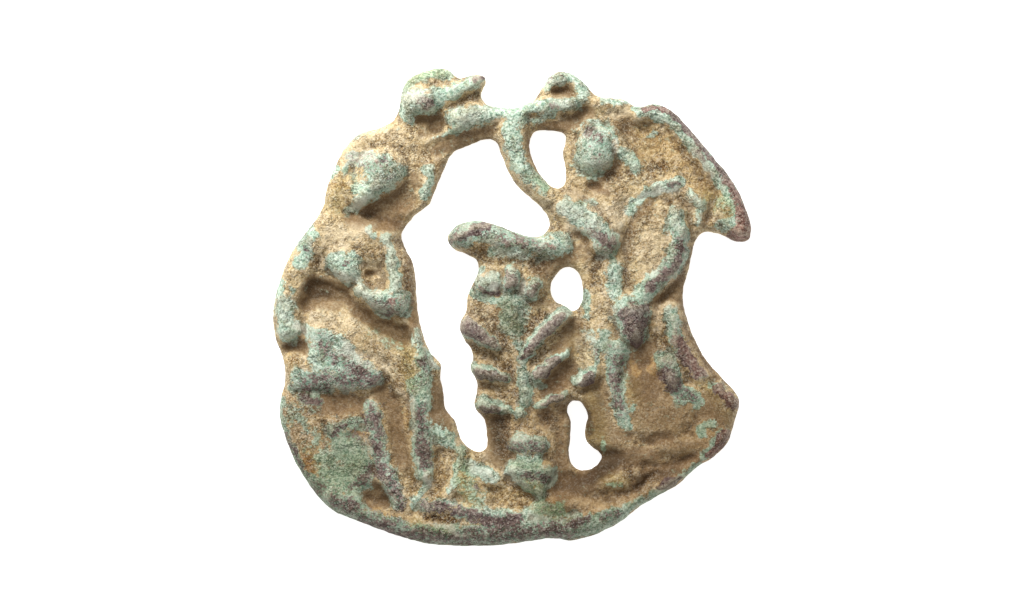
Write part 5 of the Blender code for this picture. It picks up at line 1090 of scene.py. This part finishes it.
def at(sheet, spots):
    """The raster's value at each spot, between its ticks."""
    column = np.clip((spots[:, 0] + RASTER_REACH) / RASTER, 0.0, len(ticks) - 1.001)
    row = np.clip((spots[:, 1] + RASTER_REACH) / RASTER, 0.0, len(ticks) - 1.001)
    i, j = column.astype(int), row.astype(int)
    u, v = column - i, row - j
    low = sheet[j, i] * (1.0 - u) + sheet[j, i + 1] * u
    high = sheet[j + 1, i] * (1.0 - u) + sheet[j + 1, i + 1] * u
    return low * (1.0 - v) + high * v


# Outline and openings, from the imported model.


def rim_loops(node):
    """The parting line's closed loops in mm, outer one first, material on the right, and its height."""
    mesh = node.data
    spots = np.empty(len(mesh.vertices) * 3)
    mesh.vertices.foreach_get("co", spots)
    spots = spots.reshape(-1, 3) / MM
    height = spots[spots[:, 0].argmax(), 2]
    keys = [tuple(key) for key in np.round(spots / WELD).astype(int)]
    number_of = {key: number for number, key in enumerate(dict.fromkeys(keys))}
    welded = np.array([number_of[key] for key in keys])
    place = {new: spots[old] for old, new in enumerate(welded)}
    follows = {}
    mesh.calc_loop_triangles()
    for triangle in mesh.loop_triangles:
        corners = [welded[v] for v in triangle.vertices]
        for turn in range(3):
            a, b, c = corners[turn], corners[(turn + 1) % 3], corners[(turn + 2) % 3]
            on_rim = max(abs(place[a][2] - height), abs(place[b][2] - height)) < LEVEL_TOLERANCE
            if on_rim and place[c][2] < height - 10.0 * LEVEL_TOLERANCE:
                follows[a] = b
    loops = []
    while follows:
        start, here = follows.popitem()
        loop = [start]
        while here != start:
            loop.append(here)
            here = follows.pop(here)
        loops.append(np.array([place[number][:2] for number in loop]))
    loops.sort(key=enclosed_area)
    return loops, height


def enclosed_area(loop):
    """Area inside a loop, below zero for one that runs clockwise."""
    x, y = loop.T
    return 0.5 * float(np.sum(x * np.roll(y, -1) - y * np.roll(x, -1)))


def smooth_rims(loops):
    """The rims drawn smoothly, with the small unevenness of a corroded edge."""
    rims = []
    for number, loop in enumerate(loops):
        rim = evenly_spaced(smooth_path(loop, closed=True, step=0.1), RIM_STEP)
        wander = RIM_WANDER * fractal_noise(rim[:, 0], rim[:, 1], 0.8, 3, 71 + number)
        rims.append(rim + wander[:, None] * outward(rim))
    return rims


def outward(rim):
    """Unit vectors across a loop, to its left, away from the material."""
    direction = np.roll(rim, -1, axis=0) - np.roll(rim, 1, axis=0)
    direction /= np.linalg.norm(direction, axis=1)[:, None]
    return np.column_stack([-direction[:, 1], direction[:, 0]])


def signed_distance(rims):
    """Raster of the distance to the nearest rim, positive on material, measured up to EDGE_REACH."""
    distance = np.full(RX.shape, EDGE_REACH)
    material = inside_loop(RX, RY, rims[0])
    for rim in rims[1:]:
        material &= ~inside_loop(RX, RY, rim)
    for rim in rims:
        path = np.vstack([rim, rim[:1]])[::2]
        for start in range(0, len(path) - 1, RIM_PIECE):
            piece = path[start : start + RIM_PIECE + 1]
            window = raster_window(piece, EDGE_REACH)
            near, _ = distance_to_path(RX[window], RY[window], piece)
            distance[window] = np.minimum(distance[window], near)
    return np.where(material, distance, -distance)


# Relief and patina, as rasters.


def wandering(amount, grain, octaves, seed):
    """The raster's places pushed about by noise, so that what is painted there has a natural edge."""
    x = RX + amount * fractal_noise(RX, RY, grain, octaves, seed)
    y = RY + amount * fractal_noise(RX, RY, grain, octaves, seed + 10)
    return x, y


def sculpted_form(soft):
    """Raster of the casting's height before it corroded."""
    gentle = wandering(0.17, 1.5, 3, 51)
    masses = painted(MASSES, FORM_POWER, gentle, 5.0, foot=FOOT, flatness=FLATNESS)
    details = painted(DETAILS, FORM_POWER, gentle, foot=FOOT, flatness=FLATNESS)
    hollows = painted(HOLLOWS, HOLLOW_POWER, soft, 4.0)
    return blurred(PLATE + MASS_SHARE * masses + details - HOLLOW_SHARE * hollows, FORM_BLUR)


def colour_patches(soft):
    """Rasters of the colour patches, painted shade and painted highlights among them: 0 where one is
    absent, 1 or more where it is full.
    """
    ragged = wandering(0.30, 0.9, 4, 31)
    sheets = {}
    for name, strokes, spread in (
        ("green", GREEN, 1.2),
        ("worn", WORN, 1.22),
        ("ochre", OCHRE, 1.2),
        ("red", RED, 1.0),
        # Pale mask: scraped and bleached places, and painted highlights.
        ("pale", PALE_AND_HIGHLIGHT, 1.0),
        ("olive", OLIVE, 1.0),
        ("coarse", COARSE, 1.0),
    ):
        sheets[name] = painted(strokes, PATCH_POWER, ragged, spread=spread)
    sheets["olive"] = blurred(sheets["olive"], OLIVE_BLUR)
    # Brown mask: darker earth, and painted shade in hollows and under forms.
    sheets["brown"] = painted(BROWN_AND_SHADE, BROWN_AND_SHADE_POWER, soft, spread=1.1)
    # Grime mask: broad soiling, and painted shade under forms and on their lower sides.
    sheets["grime_and_shade"] = blurred(painted(GRIME_AND_SHADE, GRIME_AND_SHADE_POWER, ragged, 3.0), GRIME_AND_SHADE_BLUR)
    return sheets


def scattered_pits(count, sizes, depths, seed):
    """Raster of small round pits, strewn evenly over the badge."""
    rng = np.random.default_rng(seed)
    sheet = np.zeros(RX.shape)
    for _ in range(count):
        cx, cy = rng.uniform(-PITTED_REACH, PITTED_REACH, 2)
        size = rng.uniform(*sizes)
        depth = rng.uniform(*depths)
        stretch = rng.uniform(0.7, 1.4)
        i, j = int((cx + RASTER_REACH) / RASTER), int((cy + RASTER_REACH) / RASTER)
        reach = int(size * 1.5 / RASTER) + 2
        window = (slice(max(j - reach, 0), j + reach), slice(max(i - reach, 0), i + reach))
        distance = np.hypot((RX[window] - cx) / stretch, (RY[window] - cy) * stretch) / size
        sheet[window] = np.maximum(sheet[window], depth * np.exp(-(distance**2) * 1.6))
    return sheet


def corroded(form, patches):
    """The form with grains, lumps, places where flakes came off and pits, and the pits alone."""
    coarse = patches["coarse"]
    bare = np.clip(1.0 - patches["green"], 0.0, 1.0)
    crust = bare * (1.0 - 0.75 * np.clip(patches["brown"], 0.0, 1.0))
    grain = fractal_noise(RX, RY, 0.42, 2, 101)
    lumps = fractal_noise(RX, RY, 1.8, 3, 111)
    flakes = np.abs(fractal_noise(RX, RY, 0.7, 3, 131))
    pits = scattered_pits(PIT_COUNT, PIT_SIZES, PIT_DEPTHS, 121)
    pits *= (0.15 + 0.85 * np.clip(coarse, 0.0, 1.0)) * (0.4 + 0.6 * crust)
    relief = form + GRAIN_HEIGHT * grain * (0.8 + 0.5 * crust + 0.6 * coarse)
    relief += LUMP_HEIGHT * lumps * (0.6 + 0.6 * crust + 0.6 * coarse)
    relief -= FLAKE_DEPTH * flakes * (0.4 + 0.6 * crust + 1.6 * coarse)
    relief -= pits
    return np.maximum(relief, LOWEST_FRONT + LOWEST_UNEVEN * grain), pits


def sculpt():
    """Rasters of the front's height, of the patina's masks and of the masks of painted shade and
    highlights.
    """
    soft = wandering(0.22, 1.3, 3, 11)
    sheets = colour_patches(soft)
    relief, pits = corroded(sculpted_form(soft), sheets)
    sheets["relief"] = relief
    sheets["coarse"] = np.clip(sheets["coarse"], 0.0, 1.0)
    sheets["pit"] = np.clip(pits * 4.0, 0.0, 1.0)
    # Painted shade in what lies lower than its surroundings.
    sheets["cavity_shade"] = smoothstep(0.0, 0.35, blurred(relief, CAVITY_REACH) - relief)
    # Painted shade in crevices and painted highlights on crests, either side of 0.5.
    sheets["crevice_shade_and_crest_highlight"] = 0.5 + 6.0 * (relief - blurred(relief, CREVICE_REACH))
    return sheets


def shouldered(relief, edge, parting):
    """The relief's height, rounded down to the parting line near the rims."""
    reach = np.clip(edge / SHOULDER, 0.0, 1.0)
    return parting + (relief - parting) * np.sqrt(1.0 - (1.0 - reach) ** 2)


# Mesh.


def triangular_grid(rims, edge, step, clearance):
    """Points of a triangular grid over the material, clear of the rims."""
    low, high = rims[0].min(axis=0), rims[0].max(axis=0)
    spots = []
    for number, y in enumerate(np.arange(low[1], high[1], step * math.sqrt(3.0) / 2.0)):
        x = np.arange(low[0] + step / 2.0 * (number % 2), high[0], step)
        spots.append(np.column_stack([x, np.full(x.shape, y)]))
    spots = np.vstack(spots)
    return spots[at(edge, spots) > clearance]


def triangles_between(loops, extra):
    """Triangles over the material, from the loops' points followed by the extra points."""
    spots = np.vstack([*loops, extra])
    edges = []
    first = 0
    for loop in loops:
        edges += [(first + n, first + (n + 1) % len(loop)) for n in range(len(loop))]
        first += len(loop)
    corners, _, faces, origins, _, _ = delaunay_2d_cdt([Vector(s) for s in spots], edges, [], 0, 1e-9)
    if len(corners) != len(spots):
        raise ValueError("two outline points coincide or two outlines cross")
    origin = np.array([o[0] for o in origins])
    faces = origin[np.array(faces)]
    middle = spots[faces].mean(axis=1)
    inside = inside_loop(middle[:, 0], middle[:, 1], loops[0])
    for loop in loops[1:]:
        inside &= ~inside_loop(middle[:, 0], middle[:, 1], loop)
    return faces[inside]


def strips(loops, upper, lower):
    """Triangles joining two copies of the loops, whose points start at two given numbers."""
    faces = []
    for loop in loops:
        here = np.arange(len(loop))
        following = np.roll(here, -1)
        faces.append(np.column_stack([upper + here, upper + following, lower + following]))
        faces.append(np.column_stack([upper + here, lower + following, lower + here]))
        upper += len(loop)
        lower += len(loop)
    return np.vstack(faces)


def front_points(relief, rims, edge, parting):
    """Places and heights of the front's points inside the rims: rings along the edge, then a grid."""
    away = np.vstack([outward(rim) for rim in rims])
    rings = np.vstack([np.vstack(rims) - away * distance for distance in SHOULDER_RINGS])
    grid = triangular_grid(rims, edge, FRONT_STEP, SHOULDER_RINGS[-1] + GRID_GAP * FRONT_STEP)
    places = np.vstack([rings, grid])
    reach = np.concatenate([np.repeat(SHOULDER_RINGS, len(away)), at(edge, grid)])
    return places, shouldered(at(relief, places), reach, parting)


def wall_points(row, rim_spots, away, parting):
    """Points of one row of the wall, which runs from row 0 at the parting line down to the back."""
    share = row / WALL_ROWS
    rough = WALL_UNEVEN * fractal_noise(rim_spots[:, 0] + 3.7 * row, rim_spots[:, 1], 0.6, 2, 201)
    inset = DRAFT * share**2 + (rough if row < WALL_ROWS else 0.0)
    places = rim_spots - away * np.broadcast_to(inset, len(rim_spots))[:, None]
    return np.column_stack([places, np.full(len(rim_spots), parting * (1.0 - share))])


def back_points(rims, edge):
    """Places and heights of the back's points inside its rims: a grid, sunk a little and uneven."""
    places = triangular_grid(rims, edge, BACK_STEP, DRAFT + GRID_GAP * BACK_STEP)
    sunk = BACK_SUNK + BACK_UNEVEN * fractal_noise(places[:, 0], places[:, 1], 1.6, 3, 301)
    return places, np.clip(sunk, 0.0, None) * smoothstep(DRAFT, BACK_FLAT_FROM, at(edge, places))


def badge_piece(relief, rims, edge, parting):
    """One closed mesh: its points, triangles and texture places, and how many points are the back's."""
    away = np.vstack([outward(rim) for rim in rims])
    rim_spots = np.vstack(rims)
    front, front_heights = front_points(relief, rims, edge, parting)
    spots = [np.column_stack([rim_spots, np.full(len(rim_spots), parting)])]
    spots.append(np.column_stack([front, front_heights]))
    unrolled = [rim_spots, front]
    faces = [triangles_between(rims, front)]

    count = len(rim_spots) + len(front)
    upper = 0
    for row in range(1, WALL_ROWS + 1):
        spots.append(wall_points(row, rim_spots, away, parting))
        unrolled.append(rim_spots + away * WALL_UNROLLED * row / WALL_ROWS)
        faces.append(strips(rims, upper, count))
        upper = count
        count += len(rim_spots)

    back_rims = [rim - outward(rim) * DRAFT for rim in rims]
    back, back_heights = back_points(back_rims, edge)
    spots.append(np.column_stack([back, back_heights]))
    unrolled.append(back)
    back_faces = triangles_between(back_rims, back)
    faces.append(back_faces[:, ::-1] + upper)

    spots = np.vstack(spots)
    faces = np.vstack(faces)
    flat = unrolled_faces(faces, np.vstack(unrolled), spots, len(faces) - len(back_faces))
    return spots, faces, flat, len(back)


def unrolled_faces(faces, unrolled, spots, back_start):
    """Texture places of every face corner: front and walls on the left, the back on the right."""
    front = (unrolled[faces[:back_start]] + RASTER_REACH) / (2.0 * RASTER_REACH)
    back = (spots[faces[back_start:], :2] + RASTER_REACH) / (2.0 * RASTER_REACH)
    front[..., 0] *= FRONT_SHARE
    back[..., 0] = FRONT_SHARE + back[..., 0] * (1.0 - FRONT_SHARE)
    return np.vstack([front, back]).reshape(-1, 2)


def main_mesh():
    """The fine badge, one closed mesh that carries its patina masks and its masks of painted shade and
    highlights, and its parting line's height.
    """
    loops, parting = rim_loops(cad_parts["badge"])
    rims = smooth_rims(loops)
    edge = signed_distance(rims)
    sheets = sculpt()
    spots, faces, flat, back_count = badge_piece(sheets.pop("relief"), rims, edge, parting)

    mesh = bpy.data.meshes.new("badge_cast")
    mesh.from_pydata((spots * MM).tolist(), [], faces.tolist())
    mesh.update()
    mesh.uv_layers.new(name="OFBake").data.foreach_set("uv", flat.ravel())
    in_front = np.ones(len(spots))
    in_front[len(spots) - back_count :] = 0.0
    for name, sheet in sheets.items():
        layer = mesh.attributes.new(name, "FLOAT", "POINT")
        values = at(sheet, spots[:, :2]) * in_front
        layer.data.foreach_set("value", values.astype(np.float32))
    mesh.shade_smooth()
    piece = bpy.data.objects.new("badge_cast", mesh)
    bpy.context.collection.objects.link(piece)
    return piece, parting


# Material.


def srgb(red, green, blue):
    """A colour given in display values of 0 to 255, as linear light."""
    linear = []
    for value in (red / 255.0, green / 255.0, blue / 255.0):
        linear.append(value / 12.92 if value <= 0.04045 else ((value + 0.055) / 1.055) ** 2.4)
    return (*linear, 1.0)


class NodeKit:
    """Short ways to add and join a material's nodes, and the noises that its layers share."""

    def __init__(self, tree):
        self.nodes = tree.nodes
        self.links = tree.links
        self.place = self.nodes.new("ShaderNodeTexCoord").outputs["Object"]
        self.fine = self.noise(0.14, 2.0, 0.6, 0.013)
        self.grit = self.noise(0.27, 4.0, 0.68, 0.053)
        self.medium = self.noise(0.9, 6.0, 0.72, 0.029)
        self.broad = self.noise(2.6, 3.0, 0.5, 0.041)

    def feed(self, socket, value):
        """Join a node's output to a socket, or set the socket's value."""
        if isinstance(value, bpy.types.NodeSocket):
            self.links.new(value, socket)
        else:
            socket.default_value = value

    def mask(self, name):
        """One of the mesh's painted masks."""
        node = self.nodes.new("ShaderNodeAttribute")
        node.attribute_name = name
        return node.outputs["Fac"]

    def compute(self, operation, a, b, clamp=False):
        node = self.nodes.new("ShaderNodeMath")
        node.operation = operation
        node.use_clamp = clamp
        self.feed(node.inputs[0], a)
        self.feed(node.inputs[1], b)
        return node.outputs[0]

    def plus(self, a, b):
        return self.compute("ADD", a, b)

    def times(self, a, b):
        return self.compute("MULTIPLY", a, b)

    def minus(self, a, b, clamp=False):
        return self.compute("SUBTRACT", a, b, clamp)

    def textured(self, kind, grain_mm, shift):
        """A texture node with grains of the given size, moved along so that no two coincide."""
        node = self.nodes.new(kind)
        node.inputs["Scale"].default_value = 1.0 / (grain_mm * MM)
        mapping = self.nodes.new("ShaderNodeMapping")
        mapping.inputs["Location"].default_value = (shift, shift * 0.7, shift * 1.3)
        self.links.new(self.place, mapping.inputs["Vector"])
        self.links.new(mapping.outputs["Vector"], node.inputs["Vector"])
        return node

    def noise(self, grain_mm, detail, roughness, shift):
        node = self.textured("ShaderNodeTexNoise", grain_mm, shift)
        node.inputs["Detail"].default_value = detail
        node.inputs["Roughness"].default_value = roughness
        return node.outputs["Fac"]

    def grains(self, grain_mm, shift):
        """Packed grains: the distance from each grain's middle, and a random shade for each grain."""
        node = self.textured("ShaderNodeTexVoronoi", grain_mm, shift)
        shade = self.nodes.new("ShaderNodeSeparateColor")
        self.links.new(node.outputs["Color"], shade.inputs["Color"])
        return node.outputs["Distance"], shade.outputs["Red"]

    def ramp(self, value, low, high):
        """0 at low, 1 at high, and a smooth rise between them."""
        node = self.nodes.new("ShaderNodeMapRange")
        node.interpolation_type = "SMOOTHSTEP"
        self.feed(node.inputs["Value"], value)
        node.inputs["From Min"].default_value = low
        node.inputs["From Max"].default_value = high
        return node.outputs["Result"]

    def mix(self, factor, a, b, blend="MIX"):
        node = self.nodes.new("ShaderNodeMix")
        node.data_type = "RGBA"
        node.blend_type = blend
        self.feed(node.inputs["Factor"], factor)
        self.feed(node.inputs["A"], a)
        self.feed(node.inputs["B"], b)
        return node.outputs["Result"]

    def dimmed(self, colour, filter_colour):
        """A colour seen through a filter."""
        return self.mix(1.0, colour, filter_colour, "MULTIPLY")

    def patch(self, name, low, high, *breakups):
        """A painted mask with its edge broken up by noises, each given with its strength."""
        broken = self.mask(name)
        for breakup, amount in breakups:
            broken = self.plus(broken, self.times(self.minus(breakup, 0.5), amount))
        return self.ramp(broken, low, high)

    def layered(self, colour, *layers):
        """A colour with tints laid over it, each (what shows it, from, to, strength, tint)."""
        for shows, low, high, strength, tint in layers:
            colour = self.mix(self.times(self.ramp(shows, low, high), strength), colour, tint)
        return colour


def earth_colour(kit):
    """Tan earth with paler and darker places, brown that is partly darker earth and partly painted
    shade, deepening into painted shadow in deep hollows, and ochre.
    """
    earth = kit.mix(kit.ramp(kit.grit, 0.34, 0.64), srgb(178, 151, 108), srgb(216, 197, 157))
    deeper = kit.mix(0.5, earth, srgb(192, 170, 124))
    earth = kit.mix(kit.ramp(kit.broad, 0.38, 0.64), earth, deeper)
    earth = kit.layered(
        earth,
        (kit.medium, 0.52, 0.68, 0.3, srgb(158, 130, 88)),
        (kit.medium, 0.47, 0.37, 0.45, srgb(220, 204, 178)),
    )
    # Brown where the brown mask lies: partly darker earth, partly painted shade.
    brown = kit.mix(kit.ramp(kit.grit, 0.32, 0.66), srgb(120, 96, 66), srgb(146, 121, 88))
    ochre = kit.mix(kit.ramp(kit.grit, 0.35, 0.65), srgb(172, 138, 86), srgb(216, 190, 136))
    colour = kit.mix(kit.times(kit.patch("brown", 0.1, 0.9, (kit.medium, 1.0)), 0.8), earth, brown)
    # Past 1 the brown mask deepens into painted shadow in deep hollows.
    colour = kit.layered(colour, (kit.mask("brown"), 1.0, 1.9, 0.9, srgb(80, 62, 39)))
    colour = kit.mix(kit.times(kit.patch("ochre", 0.25, 0.75, (kit.medium, 1.6)), 0.7), colour, ochre)
    return kit.layered(colour, (kit.mask("ochre"), 1.1, 1.7, 0.6, srgb(188, 138, 78)))


def verdigris_colour(kit):
    """Blue-green crust, paler, greener and yellower in places."""
    verdigris = kit.mix(kit.ramp(kit.grit, 0.38, 0.60), srgb(114, 146, 126), srgb(202, 220, 203))
    return kit.layered(
        verdigris,
        (kit.broad, 0.42, 0.62, 0.35, srgb(152, 186, 166)),
        (kit.medium, 0.52, 0.62, 0.4, srgb(164, 162, 124)),
        (kit.medium, 0.47, 0.40, 0.5, srgb(202, 217, 204)),
    )


def cuprite_colour(kit):
    """The purple-brown of worn places, redder where the copper shows."""
    cuprite = kit.mix(kit.ramp(kit.grit, 0.42, 0.62), srgb(88, 68, 68), srgb(132, 113, 109))
    red_copper = kit.mix(kit.ramp(kit.grit, 0.42, 0.62), srgb(126, 84, 72), srgb(176, 138, 122))
    return kit.mix(kit.times(kit.mask("red"), 0.8), cuprite, red_copper)


def soiled_and_shaded_colour(kit, colour, green):
    """The colours under olive, bleaching and painted highlights, painted shade in pits, cavities and
    crevices, painted highlights on crests, and broad dirt that also carries painted shade.
    """
    colour = kit.mix(kit.mask("olive"), colour, kit.dimmed(colour, srgb(230, 231, 196)))
    # Scraped and bleached places, and painted highlights where light falls on the forms.
    pale_and_highlight_tint = kit.mix(green, srgb(231, 215, 183), srgb(217, 216, 202))
    colour = kit.mix(kit.times(kit.mask("pale"), 0.8), colour, pale_and_highlight_tint)
    # Painted shade in the pits.
    colour = kit.layered(colour, (kit.mask("pit"), 0.35, 0.9, 0.4, srgb(92, 70, 46)))
    # Painted shade in cavities.
    colour = kit.mix(kit.times(kit.mask("cavity_shade"), 0.25), colour, srgb(104, 80, 54))
    # Painted shade in crevices, and painted highlights on crests, weaker on brown.
    crest_highlight_strength = kit.minus(0.35, kit.times(kit.mask("brown"), 0.2), True)
    colour = kit.layered(
        colour,
        (kit.mask("crevice_shade_and_crest_highlight"), 0.45, 0.15, 0.55, srgb(100, 78, 50)),
        (kit.mask("crevice_shade_and_crest_highlight"), 0.55, 0.95, crest_highlight_strength, srgb(216, 208, 184)),
    )
    # Broad grime, which also carries painted shade under the forms and on their lower sides.
    grime_and_shade_tint = kit.dimmed(colour, kit.mix(green, srgb(184, 164, 142), srgb(190, 184, 166)))
    return kit.mix(kit.times(kit.mask("grime_and_shade"), 0.8), colour, grime_and_shade_tint)


def grained_colour(kit, colour, crumbling, grainy, shade, flakes):
    """The colours broken into dull and dusty grains, with painted shade in the low places between
    flakes.
    """
    # Painted shade in the low places between flakes.
    flake_hollow_shade = kit.dimmed(colour, srgb(198, 177, 146))
    colour = kit.mix(kit.times(kit.minus(1.0, flakes), crumbling), colour, flake_hollow_shade)
    dull = kit.dimmed(colour, srgb(120, 104, 80))
    colour = kit.mix(kit.times(kit.times(kit.ramp(shade, 0.50, 0.15), grainy), 0.9), colour, dull)
    dusty = kit.mix(0.42, colour, srgb(238, 236, 222))
    return kit.mix(kit.times(kit.times(kit.ramp(shade, 0.55, 0.9), grainy), 0.9), colour, dusty)


def patina_material():
    """Corroded copper alloy: earth in the hollows, verdigris on the forms, cuprite where worn, with
    painted shade and painted highlights in its colours.
    """
    material = bpy.data.materials.new("patinated_bronze")
    material.use_nodes = True
    shader = material.node_tree.nodes["Principled BSDF"]
    kit = NodeKit(material.node_tree)

    grain_dome, grain_shade = kit.grains(0.27, 0.091)
    _, speck_shade = kit.grains(0.12, 0.033)
    shade = kit.plus(kit.times(grain_shade, 0.15), kit.times(speck_shade, 0.85))
    flakes = kit.ramp(kit.noise(0.95, 6.0, 0.66, 0.067), 0.475, 0.535)
    patchy = kit.ramp(kit.noise(1.7, 4.0, 0.6, 0.131), 0.46, 0.60)
    smoother = kit.plus(kit.times(kit.mask("brown"), 0.85), kit.times(kit.mask("grime_and_shade"), 0.35))
    smoother = kit.plus(smoother, kit.times(kit.mask("pale"), 0.6))
    rough = kit.minus(1.0, smoother, True)
    scattered = kit.times(kit.times(patchy, rough), 0.5)
    coarse = kit.times(kit.mask("coarse"), kit.plus(kit.times(rough, 0.5), 0.5))
    crumbling = kit.compute("MAXIMUM", scattered, coarse)
    grainy = kit.plus(kit.times(crumbling, 0.5), kit.plus(kit.times(rough, 0.3), 0.16))

    green = kit.patch("green", 0.20, 0.64, (kit.medium, 2.2), (kit.grit, 1.2))
    worn = kit.patch("worn", 0.38, 0.70, (kit.medium, 1.2), (kit.grit, 1.8))
    colour = kit.mix(green, earth_colour(kit), verdigris_colour(kit))
    colour = kit.mix(worn, colour, cuprite_colour(kit))
    colour = soiled_and_shaded_colour(kit, colour, green)
    colour = grained_colour(kit, colour, crumbling, grainy, shade, flakes)
    kit.feed(shader.inputs["Base Color"], colour)
    kit.feed(shader.inputs["Roughness"], kit.plus(kit.times(kit.fine, 0.3), 0.6))
    shader.inputs["Specular IOR Level"].default_value = 0.3
    shader.inputs["Metallic"].default_value = 0.0

    height = kit.plus(kit.grit, kit.times(kit.fine, 1.2))
    height = kit.times(height, kit.plus(kit.times(crumbling, 1.1), 0.3))
    height = kit.minus(height, kit.times(kit.times(grain_dome, grainy), 0.5))
    height = kit.plus(height, kit.times(kit.times(flakes, crumbling), 0.7))
    height = kit.plus(height, kit.times(green, 0.15))
    bump = kit.nodes.new("ShaderNodeBump")
    bump.inputs["Strength"].default_value = 1.0
    bump.inputs["Distance"].default_value = BUMP_DEPTH * MM
    kit.feed(bump.inputs["Height"], height)
    kit.feed(shader.inputs["Normal"], bump.outputs["Normal"])
    return material


# Floor, light and camera.


def floor():
    """A plain pale sheet under the badge, lit enough to show white."""
    mesh = bpy.data.meshes.new("floor")
    reach = FLOOR_REACH
    corners = [(-reach, -reach, 0.0), (reach, -reach, 0.0), (reach, reach, 0.0), (-reach, reach, 0.0)]
    mesh.from_pydata(corners, [], [(0, 1, 2, 3)])
    material = bpy.data.materials.new("floor_paper")
    material.use_nodes = True
    shader = material.node_tree.nodes["Principled BSDF"]
    shader.inputs["Base Color"].default_value = (0.85, 0.85, 0.85, 1.0)
    shader.inputs["Roughness"].default_value = 0.9
    shader.inputs["Specular IOR Level"].default_value = 0.0
    shader.inputs["Emission Color"].default_value = (1.0, 1.0, 1.0, 1.0)
    shader.inputs["Emission Strength"].default_value = 0.8
    mesh.materials.append(material)
    ground = bpy.data.objects.new("floor", mesh)
    ground.location.z = -FLOOR_GAP
    bpy.context.collection.objects.link(ground)


def soft_box(name, place, size, power, colour):
    """A rectangular lamp that faces the badge."""
    light = bpy.data.lights.new(name, "AREA")
    light.shape = "RECTANGLE"
    light.size, light.size_y = size
    light.energy = power
    light.color = colour
    lamp = bpy.data.objects.new(name, light)
    lamp.location = place
    lamp.rotation_euler = (-Vector(place)).to_track_quat("-Z", "Y").to_euler()
    lamp.visible_camera = False
    bpy.context.collection.objects.link(lamp)


def lights():
    """A soft key light from the upper left, and an even sky."""
    across = KEY_DISTANCE * math.cos(KEY_HEIGHT)
    place = (
        across * math.cos(KEY_TURN),
        across * math.sin(KEY_TURN),
        KEY_DISTANCE * math.sin(KEY_HEIGHT),
    )
    soft_box("key_light", place, KEY_SIZE, KEY_POWER, (1.0, 0.985, 0.95))
    world = bpy.data.worlds.new("studio")
    world.use_nodes = True
    background = world.node_tree.nodes["Background"]
    background.inputs["Color"].default_value = (1.0, 0.99, 0.97, 1.0)
    background.inputs["Strength"].default_value = SKY_STRENGTH
    bpy.context.scene.world = world


def camera(level):
    """A long lens straight above, which sees PICTURE_WIDTH at the given height."""
    data = bpy.data.cameras.new("camera")
    data.lens = LENS
    data.sensor_width = SENSOR
    data.clip_start = 0.01
    data.clip_end = 10.0
    eye = bpy.data.objects.new("camera", data)
    eye.location = (0.0, 0.0, (level + PICTURE_WIDTH * LENS / SENSOR) * MM)
    bpy.context.collection.objects.link(eye)
    bpy.context.scene.camera = eye


badge, parting_level = main_mesh()
badge.data.materials.append(patina_material())
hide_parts("badge")
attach(badge, "root")
floor()
lights()
camera(parting_level)
bpy.context.scene.view_settings.view_transform = "Standard"
